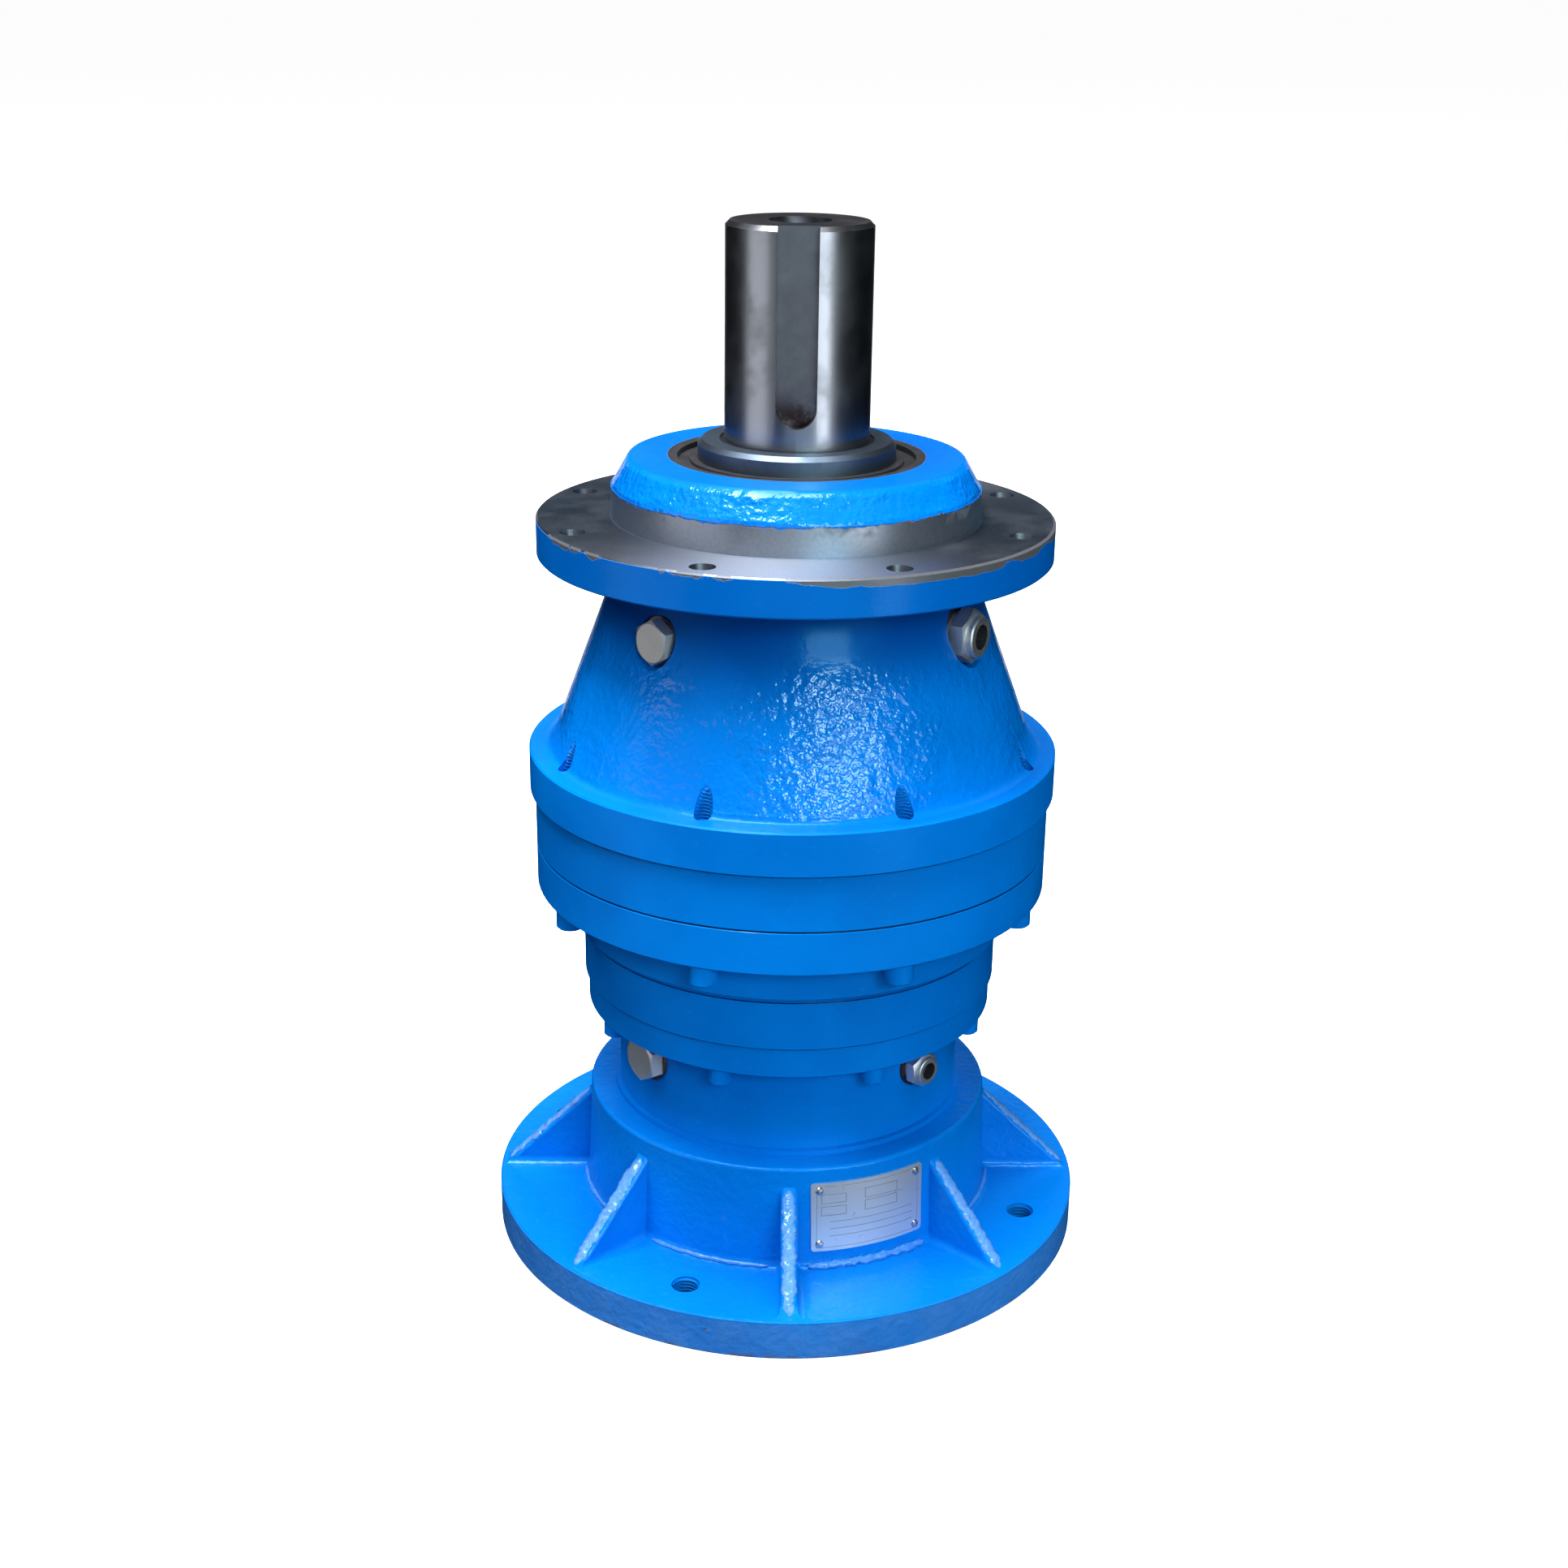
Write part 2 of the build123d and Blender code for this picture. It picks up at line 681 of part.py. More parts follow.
def output_housing():
    room_r = cone_r_at(z_cone_room_top) - cone_wall
    z_step = z_shaft_hub + shaft_room
    body = turned(
        (housing_bore_r, z_housing), (housing_foot_r - seam_break, z_housing),
        (housing_foot_r, z_housing + seam_break), (housing_foot_r, z_cone - edge_break),
        (housing_foot_r - edge_break, z_cone), (cone_foot_r, z_cone, cone_foot_fillet),
        (cone_top_r, z_output_flange, cone_top_fillet), (output_flange_r - edge_break, z_output_flange),
        (output_flange_r, z_output_flange + edge_break), (output_flange_r, z_output_face - edge_break),
        (output_flange_r - edge_break, z_output_face), (output_spigot_r, z_output_face),
        (output_spigot_r, z_spigot_top), (boss_foot_r, z_spigot_top), (boss_top_r, z_boss_top, boss_fillet),
        (upper_cup_r + edge_break, z_boss_top), (upper_cup_r, z_boss_top - edge_break),
        (upper_cup_r, z_upper_bearing), (upper_shoulder_r, z_upper_bearing),
        (upper_shoulder_r, z_cone_room_top), (room_r, z_cone_room_top, cast_fillet),
        (room_r, z_cone_room, cast_fillet), (lower_shoulder_r, z_cone_room),
        (lower_shoulder_r, z_lower_bearing_top), (lower_cup_r, z_lower_bearing_top),
        (lower_cup_r, z_lower_bearing - relief), (housing_step_r, z_lower_bearing - relief),
        (housing_step_r, z_step), (housing_bore_r, z_step, cast_fillet))
    holes = [place * disc(output_hole_r, z_output_flange - over, z_output_face + over)
             for place in around(output_hole_count, output_hole_circle_r, output_hole_turn)]
    holes += [place * disc(bolt_2_r + thread_gap, z_housing - over, z_cone + bolt_2_hole_rise)
              for place in around(bolt_count, bolt_2_circle_r, bolt_turn)]
    rise = cone_r_at(z_cone) - cone_r_at(z_output_flange)
    holes += [plug_hole(upper_plug_place(), upper_plug_r, upper_plug_across, cone_wall, rise),
              plug_hole(upper_vent_place(), upper_vent_r, upper_vent_across, cone_wall, rise)]
    return drilled(body, holes)


def ring_with_bolt_holes(teeth, module, phase, outer_r, z_low, z_high, hole_r, circle_r):
    ring = ring_gear(teeth, module, phase, outer_r, z_low, z_high)
    hole = disc(hole_r, z_low - over, z_high + over)
    return drilled(ring, [place * hole for place in around(bolt_count, circle_r, bolt_turn)])


def ring_gear_1():
    phase = ring_phase(radians(planet_turn), sun_teeth_1, planet_teeth_1, ring_teeth_1)
    ring = ring_with_bolt_holes(ring_teeth_1, module_1, phase, ring_1_r, z_ring_1, z_neck,
                                bolt_1_r + screw_clearance, bolt_1_circle_r)
    return ring - o_ring_groove(neck_groove_r, z_neck)


def ring_gear_2():
    phase = ring_phase(radians(planet_turn), sun_teeth_2, planet_teeth_2, ring_teeth_2)
    ring = ring_with_bolt_holes(ring_teeth_2, module_2, phase, ring_2_r, z_ring_2, z_housing,
                                bolt_2_r + screw_clearance, bolt_2_circle_r)
    return ring - o_ring_groove(big_groove_r, z_housing)


def casing_o_rings():
    return group([o_ring(input_groove_r, z_ring_1), o_ring(neck_groove_r, z_neck),
                  o_ring(big_groove_r, z_ring_2), o_ring(big_groove_r, z_housing)])


# Plugs in the casings

def plug_place(turn, seat_r, z):
    """A place on a casing with +Z pointing out level from the axis."""
    return Rot(0, 0, turn) * Pos(seat_r, 0, z) * Rot(0, 90, 0)


def washer_r(across):
    return across / 2 / cos(pi / 6) + plug_washer_rim


def spot_face_r(across):
    return washer_r(across) + plug_face_rim


def lower_plug_place():
    return plug_place(lower_plug_turn, input_body_r - plug_seat_sink, lower_plug_z)


def lower_vent_place():
    return plug_place(lower_vent_turn, input_body_r - plug_seat_sink, lower_plug_z)


def upper_place(turn, across):
    """On the cone, with the spot face sunk a little even at its upper edge."""
    seat_r = cone_r_at(upper_plug_z + spot_face_r(across)) - plug_seat_sink
    return plug_place(turn, seat_r, upper_plug_z)


def upper_plug_place():
    return upper_place(upper_plug_turn, upper_plug_across)


def upper_vent_place():
    return upper_place(upper_vent_turn, upper_vent_across)


def plug_hole(place, radius, across, wall, face_depth):
    """The tapped hole through the wall and the spot face outside it."""
    bore = disc(radius + thread_gap, -wall - over, over)
    return place * (bore + disc(spot_face_r(across), 0, face_depth))


def stub(radius):
    """The threaded part of a plug, under its head."""
    return disc(radius, -radius - plug_stub, plug_washer_t)


def hex_plug(radius, across):
    """z = 0 is the casing's seat, with the washer between."""
    return Pos(0, 0, plug_washer_t) * hexagon(across, plug_head_h, plug_bevel) + stub(radius)


def vent_plug(radius, across):
    """A hexagon between a round neck and a round collar with an open bore."""
    z_hexagon = plug_washer_t + vent_neck_h * across
    z_collar = z_hexagon + vent_hexagon_h * across
    z_top = z_collar + vent_collar_h * across
    collar_r = vent_collar_r * across
    plug = stub(radius) + disc(vent_neck_r * across, plug_washer_t, z_hexagon)
    plug += Pos(0, 0, z_hexagon) * hexagon(across, vent_hexagon_h * across, plug_bevel)
    plug += turned((0, z_hexagon), (collar_r, z_hexagon), (collar_r, z_top, vent_round * across), (0, z_top))
    return plug - disc(vent_bore_r * across, z_top - vent_bore_depth * across, z_top + over)


def hex_plugs():
    return group([upper_plug_place() * hex_plug(upper_plug_r, upper_plug_across),
                  lower_plug_place() * hex_plug(lower_plug_r, lower_plug_across)])


def vent_plugs():
    return group([upper_vent_place() * vent_plug(upper_vent_r, upper_vent_across),
                  lower_vent_place() * vent_plug(lower_vent_r, lower_vent_across)])


def plug_washer(radius, across):
    return tube(washer_r(across), radius + thread_gap, 0, plug_washer_t)


def plug_washers():
    return group([upper_plug_place() * plug_washer(upper_plug_r, upper_plug_across),
                  upper_vent_place() * plug_washer(upper_vent_r, upper_vent_across),
                  lower_plug_place() * plug_washer(lower_plug_r, lower_plug_across),
                  lower_vent_place() * plug_washer(lower_vent_r, lower_vent_across)])


# Casing bolts

def bolts(circle_r, radius, head_r, head_h, socket, washer_t, z_seat, length):
    """Socket screws from below, each on a spring washer; length is from the seat up."""
    screw = Pos(0, 0, -washer_t) * socket_screw(radius, head_r, head_h, socket, length + washer_t)
    washer = spring_washer(radius, head_r, washer_t)
    places = [place * Pos(0, 0, z_seat) for place in around(bolt_count, circle_r, bolt_turn)]
    return group([place * piece for place in places for piece in (screw, washer)])


def stage_1_bolts():
    length = z_neck - z_small_flange + bolt_1_bite
    return bolts(bolt_1_circle_r, bolt_1_r, bolt_1_head_r, bolt_1_head_h, bolt_1_socket, bolt_1_washer_t,
                 z_small_flange, length)


def stage_2_bolts():
    length = z_cone - bolt_end_sink - z_big_flange
    return bolts(bolt_2_circle_r, bolt_2_r, bolt_2_head_r, bolt_2_head_h, bolt_2_socket, bolt_2_washer_t,
                 z_big_flange, length)


def adapter_screws():
    one = socket_screw(adapter_screw_r, adapter_screw_head_r, adapter_screw_head_h, adapter_screw_socket,
                       adapter_web_t + adapter_screw_reach)
    return group([place * Pos(0, 0, z_adapter_web) * one
                  for place in around(bolt_count, adapter_screw_circle_r, bolt_turn)])


# Nameplate, bent to the adapter's wall

def nameplate():
    low = plate_z - plate_h / 2
    high = plate_z + plate_h / 2
    shell = turned((hub_r_at(low) + seat_gap, low), (hub_r_at(low) + plate_t, low),
                   (hub_r_at(high) + plate_t, high), (hub_r_at(high) + seat_gap, high))
    face = RectangleRounded(plate_w, plate_h, plate_corner)
    upright = Pos(hub_top_r / 2, 0, plate_z) * Rot(0, 0, 90) * Rot(90, 0, 0)
    plate = shell & (Rot(0, 0, plate_turn) * upright * extrude(face, hub_foot_r))
    return drilled(plate, [place * disc(rivet_r + seat_gap, -rivet_depth, rivet_depth)
                           for place in rivet_places()])


def nameplate_rivets():
    z_end = -rivet_depth + rivet_end_gap
    one = turned((0, z_end), (rivet_r, z_end), (rivet_r, plate_t), (rivet_head_r, plate_t),
                 (rivet_head_r * rivet_face_r, plate_t + rivet_head_h * rivet_bevel_h),
                 (0, plate_t + rivet_head_h))
    return group([place * one for place in rivet_places()])


# Rolling bearings

def tapered_bearing(bore_r, cup_r, cone_w, cup_w, roller_r, length):
    """Cup, cone, rollers and cage of a tapered roller bearing.

    It stands on z = 0 with its cup's back there and its cone's back, the large end, on top at cone_w.
    """
    mean_r = (bore_r + cup_r) / 2
    middle_z = cone_w / 2
    lean = radians(roller_angle)
    reach = mean_r / sin(lean)
    spread = atan(roller_r / reach)
    apex_z = middle_z - mean_r / tan(lean)

    def track(angle, z):
        return (z - apex_z) * tan(angle)

    def end_rise(s):
        """Height of the innermost point of a roller's end at distance s from the apex."""
        return apex_z + s * (cos(lean) + tan(spread) * sin(lean))

    inner, outer = lean - spread, lean + spread
    gap = run_gap / 2
    start, end = reach - length / 2, reach + length / 2
    low, high = end_rise(start) - roller_side_gap, end_rise(end) + roller_side_gap
    guide_r = track(inner, high) + roller_r * roller_stop
    cone = turned((bore_r, 0), (track(inner, 0) + roller_guide, 0), (track(inner, low) + roller_guide, low),
                  (track(inner, low) - gap, low), (track(inner, high) - gap, high), (guide_r, high),
                  (guide_r, cone_w - edge_break), (guide_r - edge_break, cone_w), (bore_r, cone_w))
    cup = turned((cup_r, 0), (cup_r, cup_w), (track(outer, cup_w) + gap, cup_w),
                 (track(outer, 0) + gap, 0))
    roller = turned((0, start), (start * tan(spread) - gap, start), (end * tan(spread) - gap, end), (0, end))
    places = [turn * Pos(0, 0, apex_z) * Rot(0, degrees(lean), 0) for turn in around(roller_count, 0, 0)]
    rollers = group([place * roller for place in places])
    t = bearing_cage_half_t
    half = length / 2 * cos(lean)
    z_low, z_high = middle_z - half - bearing_cage_low, middle_z + half + bearing_cage_high
    low_r = track(lean + spread * bearing_cage_tilt, z_low)
    high_r = track(lean + spread * bearing_cage_tilt, z_high)
    shell = turned((low_r - t, z_low), (low_r + t, z_low), (high_r + t, z_high), (high_r - t, z_high))
    window_low, window_high = start - cage_end_play, end + cage_end_play
    window = turned((0, window_low), (start * tan(spread) + cage_play, window_low),
                    (end * tan(spread) + cage_play, window_high), (0, window_high))
    cage = drilled(shell, [place * window for place in places])
    return cup, cone, rollers, cage


def ball_bearing(bore_r, outer_r, width, z_low):
    mean_r = (bore_r + outer_r) / 2
    middle_z = z_low + width / 2
    land = ball_r * ball_land
    half_cage = land * ball_cage_share
    groove = Pos(0, 0, middle_z) * revolve(
        Pos(mean_r, 0, 0) * (Plane.XZ * Circle(ball_r + run_gap)), Axis.Z)
    inner = tube(mean_r - land, bore_r, z_low, z_low + width) - groove
    outer = tube(outer_r, mean_r + land, z_low, z_low + width) - groove
    places = around(ball_count, mean_r, 0)
    balls = group([place * Pos(0, 0, middle_z) * Sphere(ball_r) for place in places])
    band = tube(mean_r + half_cage, mean_r - half_cage, z_low + ball_cage_inset,
                z_low + width - ball_cage_inset)
    pockets = [place * Pos(0, 0, middle_z) * Rot(0, 90, 0) * Cylinder(ball_r + cage_play, 3 * ball_r)
               for place in places]
    return inner, outer, balls, drilled(band, pockets)


# Shafts, carriers and suns

def planet_carrier_columns(outer_r, inner_r, centre, tip_r, z_low, z_high):
    """What is left of a ring between a carrier's two plates when the planets have their room."""
    ring = tube(outer_r, inner_r, z_low, z_high)
    room = [Rot(0, 0, angle) * Pos(centre, 0, 0) * disc(tip_r + column_gap, z_low - over, z_high + over)
            for angle in axis_angles]
    return drilled(ring, room)


def pin_holes(centre, radius, z_low, z_high):
    return [Rot(0, 0, angle) * Pos(centre, 0, 0) * disc(radius + seat_gap, z_low, z_high)
            for angle in axis_angles]


def keyway(width, reach, depth_from, z_low, z_high, turn):
    """A slot with a round lower end, from radius depth_from out to reach."""
    block = Pos((depth_from + reach) / 2, 0, (z_low + width / 2 + z_high) / 2) * Box(
        reach - depth_from, width, z_high - z_low - width / 2)
    end = Pos((depth_from + reach) / 2, 0, z_low + width / 2) * Rot(0, 90, 0) * Cylinder(
        width / 2, reach - depth_from)
    return Rot(0, 0, turn) * (block + end)


def screw_holes(centre, z_low):
    """Tapped holes in a carrier's columns for its cover plate's screws."""
    hole = disc(carrier_screw_r + thread_gap, z_low - over, z_low + carrier_screw_grip + blind_depth)
    return [Rot(0, 0, angle) * Pos(centre, 0, 0) * hole for angle in column_angles]


def output_shaft():
    """Carrier of the second stage and output shaft in one piece.

    The shaft end's seam is turned into the keyway, so that the keyed part is round all the way.
    """
    sun_room_r = sun_tip_2 + 2 * column_gap
    lower_seat_r = lower_bore_r - seat_gap
    upper_seat_r = upper_bore_r - seat_gap
    sleeve_fit_r = sleeve_seat_r - seat_gap
    z_lower_relief = z_lower_bearing_top + relief
    z_upper_relief = z_upper_bearing - relief
    z_foot = z_shaft_end - edge_break
    body = turned(
        (0, z_carrier_2), (carrier_2_r, z_carrier_2), (carrier_2_r, z_shaft_hub - carrier_chamfer),
        (carrier_2_r - carrier_chamfer, z_shaft_hub), (shaft_hub_r, z_shaft_hub, shaft_hub_fillet),
        (shaft_hub_r, z_lower_bearing), (lower_seat_r, z_lower_bearing), (lower_seat_r, z_lower_relief),
        (shaft_body_r, z_lower_relief), (shaft_body_r, z_upper_relief), (upper_seat_r, z_upper_relief),
        (upper_seat_r, z_sleeve), (sleeve_fit_r, z_sleeve), (sleeve_fit_r, z_foot), (0, z_foot))
    body += Rot(0, 0, keyway_turn) * turned(
        (0, z_sleeve), (shaft_end_r, z_sleeve), (shaft_end_r, z_shaft_top - shaft_chamfer),
        (shaft_end_r - shaft_chamfer, z_shaft_top), (0, z_shaft_top))
    body += planet_carrier_columns(carrier_2_r, sun_room_r, centre_2, planet_tip_2, z_plate_2_top,
                                   z_carrier_2 + over)
    tools = pin_holes(centre_2, pin_2_r, z_carrier_2 - over, z_shaft_hub - pin_stop_2)
    tools.append(keyway(keyway_w, shaft_end_r + keyway_w, shaft_end_r - keyway_depth,
                        z_shaft_end + keyway_foot, z_shaft_top + keyway_w, keyway_turn))
    tools.append(disc(shaft_recess_r, z_shaft_top - shaft_recess_depth, z_shaft_top + over))
    tools.append(disc(shaft_hole_r, z_shaft_top - shaft_hole_depth, z_shaft_top))
    return drilled(body, tools + screw_holes(centre_2, z_plate_2_top))


def cover_plate(outer_r, inner_r, centre, pin_r, z_top):
    """The lower plate of a carrier, screwed to the columns from below."""
    z_low = z_top - cover_plate_t
    plate = tube(outer_r, inner_r, z_low, z_top, edge_break)
    tools = pin_holes(centre, pin_r, z_low + pin_rest, z_top + over)
    tools += [Rot(0, 0, angle) * Pos(centre, 0, 0) * countersink(carrier_screw_r, z_low, thread_gap)
              for angle in column_angles]
    return drilled(plate, tools)


def carrier_screws(centre, z_top):
    z_low = z_top - cover_plate_t
    return group([Rot(0, 0, angle) * Pos(centre, 0, 0)
                  * countersunk_screw(carrier_screw_r, cover_plate_t + carrier_screw_grip, z_low)
                  for angle in column_angles])


def planet_pins(centre, radius, z_low, z_high):
    c = screw_chamfer
    pin = turned((0, z_low), (radius - c, z_low), (radius, z_low + c), (radius, z_high), (0, z_high))
    return group([Rot(0, 0, angle) * Pos(centre, 0, 0) * pin for angle in axis_angles])


def thrust_washers(centre, radius, thickness, z_low, z_high):
    """A pair on each pin, against the cover plate and against the carrier."""
    low = tube(radius + washer_rim, radius + run_gap, z_low, z_low + thickness)
    high = tube(radius + washer_rim, radius + run_gap, z_high - thickness, z_high)
    return group([Rot(0, 0, angle) * Pos(centre, 0, 0) * washer
                  for angle in axis_angles for washer in (low, high)])


def planet_set(teeth, sun_teeth, module, centre, pin_r, z_low, z_high):
    """The planet gears of a stage and their bushes, as pairs."""
    bore = disc(pin_r + bush_wall, z_low - over, z_high + over)
    bush = tube(pin_r + bush_wall - seat_gap, pin_r + run_gap, z_low, z_high)
    pairs = []
    for angle in axis_angles:
        phase = planet_phase(radians(angle), sun_teeth, teeth)
        place = Rot(0, 0, angle) * Pos(centre, 0, 0) * Rot(0, 0, -angle)
        pairs.append((place * (gear(teeth, module, phase, z_low, z_high) - bore), place * bush))
    return pairs


def splined_shaft(root_r, tip_r, z_low, z_high, gap):
    """A shaft with straight-sided splines; gap widens it to make the hub's bore."""
    width = pi * root_r / spline_count
    core_r = root_r + gap
    core = disc(core_r, z_low, z_high)
    tooth = Pos(tip_r / 2, 0, (z_low + z_high) / 2) * Box(tip_r + 2 * gap, width + 2 * gap, z_high - z_low)
    teeth = [place * tooth for place in around(spline_count, 0, 0)]
    return joined([core] + teeth) & disc(tip_r + gap, z_low, z_high)


def sun_gear_2():
    """The second stage's sun on a splined stub that sits in the first carrier."""
    z_gear = z_ring_2 - sun_end_gap
    z_gear_top = z_carrier_2 - 2 * sun_end_gap
    z_spline_top = z_mid_web + mid_web_t
    z_clip = z_carrier_1 + sun_pocket_depth - circlip_t
    z_end = z_carrier_1 + screw_chamfer
    body = gear(sun_teeth_2, module_2, 0, z_gear, z_gear_top)
    body += disc(sun_2_shaft_r, z_spline_top, z_gear + over)
    body += splined_shaft(spline_root_r, sun_2_shaft_r, z_end, z_spline_top, 0)
    return body - tube(sun_2_shaft_r + over, spline_root_r - circlip_depth, z_clip, z_clip + circlip_t)


def circlip(groove_r, outer_r, z_low, turn):
    """An open ring in a shaft's groove, with its mouth at azimuth turn."""
    ring = tube(outer_r, groove_r + seat_gap, z_low + seat_gap, z_low + circlip_t - seat_gap)
    mouth = Box(2 * (outer_r - groove_r), circlip_mouth, 2 * circlip_t)
    return ring - Rot(0, 0, turn) * Pos(outer_r, 0, z_low + circlip_t / 2) * mouth


def sun_circlip():
    return circlip(spline_root_r - circlip_depth, sun_2_shaft_r + sun_circlip_rim,
                   z_carrier_1 + sun_pocket_depth - circlip_t, 0)


def carrier_1():
    z_journal = z_mid_web + mid_web_t
    body = turned(
        (0, z_carrier_1), (carrier_1_r, z_carrier_1), (carrier_1_r, z_carrier_1_top - carrier_chamfer),
        (carrier_1_r - carrier_chamfer, z_carrier_1_top), (carrier_journal_r, z_carrier_1_top),
        (carrier_journal_r, z_journal), (0, z_journal))
    body += planet_carrier_columns(carrier_1_r, sun_tip_1 + 2 * column_gap, centre_1, planet_tip_1,
                                   z_plate_1_top, z_carrier_1 + over)
    tools = pin_holes(centre_1, pin_1_r, z_carrier_1 - over, z_carrier_1_top - pin_stop_1)
    tools.append(disc(sun_pocket_r, z_carrier_1 - over, z_carrier_1 + sun_pocket_depth))
    tools.append(splined_shaft(spline_root_r, sun_2_shaft_r, z_carrier_1, z_journal + over, seat_gap))
    return drilled(body, tools + screw_holes(centre_1, z_plate_1_top))


def carrier_bush():
    """The flanged bronze bush in the intermediate flange's web."""
    return turned(
        (carrier_journal_r + run_gap, z_mid_web - journal_bush_flange_t),
        (journal_bush_flange_r, z_mid_web - journal_bush_flange_t), (journal_bush_flange_r, z_mid_web),
        (journal_bush_r - seat_gap, z_mid_web), (journal_bush_r - seat_gap, z_mid_web + mid_web_t),
        (carrier_journal_r + run_gap, z_mid_web + mid_web_t))


def input_shaft():
    """The hollow shaft for the motor's shaft, in one piece with the first sun."""
    z_top = z_neck - sun_end_gap
    z_pinion = z_ring_1 + sun_end_gap
    z_low = input_shaft_inset
    z_groove = z_input_bearing_top
    z_seat_end = z_groove + circlip_t + input_seat_room
    groove_r = input_seat_r - circlip_depth
    seat_r = input_seat_r - seat_gap
    body = turned(
        (0, z_low), (input_land_r - screw_chamfer, z_low), (input_land_r, z_low + screw_chamfer),
        (input_land_r, z_input_bearing), (seat_r, z_input_bearing), (seat_r, z_groove),
        (groove_r, z_groove), (groove_r, z_groove + circlip_t), (seat_r, z_groove + circlip_t),
        (seat_r, z_seat_end), (input_neck_r, z_seat_end + input_cone_h), (input_neck_r, z_pinion + over),
        (0, z_pinion + over))
    body += gear(sun_teeth_1, module_1, 0, z_pinion, z_top)
    bore = disc(motor_bore_r, 0, motor_bore_depth)
    slot = Box(input_key_reach, input_key_w, input_key_length)
    return body - bore - Pos(input_key_reach / 2, 0, input_key_length / 2) * slot


def input_circlip():
    return circlip(input_seat_r - circlip_depth, input_seat_r + circlip_rim, z_input_bearing_top, 90)


def lip_seal(shaft_r, bore_r, z_low, thickness):
    """A rotary seal with a hollow on its outer side and a lip that runs on the shaft."""
    wall = (bore_r - shaft_r) * seal_wall
    lip_r, seat_r = shaft_r + run_gap, bore_r - seat_gap
    z_high = z_low + thickness
    z_lip = z_high - thickness * seal_lip_high
    z_hollow = z_high - thickness * seal_hollow
    return turned(
        (lip_r, z_low + thickness * seal_lip_low), (shaft_r + wall, z_low), (seat_r, z_low),
        (seat_r, z_high), (bore_r - wall, z_high), (bore_r - wall, z_hollow),
        (shaft_r + wall, z_hollow), (shaft_r + wall, z_lip), (lip_r, z_lip))


def seal_sleeve():
    return turned(
        (sleeve_seat_r, z_sleeve), (sleeve_r, z_sleeve), (sleeve_r, z_shaft_end - sleeve_chamfer),
        (sleeve_r - sleeve_chamfer, z_shaft_end), (sleeve_seat_r, z_shaft_end))


def lock_nut():
    nut = tube(lock_nut_r, upper_bore_r + thread_gap, z_lock_nut, z_sleeve, edge_break)
    slot = Pos(lock_nut_r, 0, (z_lock_nut + z_sleeve) / 2) * Box(
        2 * lock_nut_slot_depth, lock_nut_slot_w, lock_nut_h + over)
    return drilled(nut, [place * slot for place in around(lock_nut_slot_count, 0, 0)])


def lock_washer():
    return tube(lock_washer_r, upper_bore_r + thread_gap, z_upper_bearing_top, z_lock_nut)


# All sub-parts by name

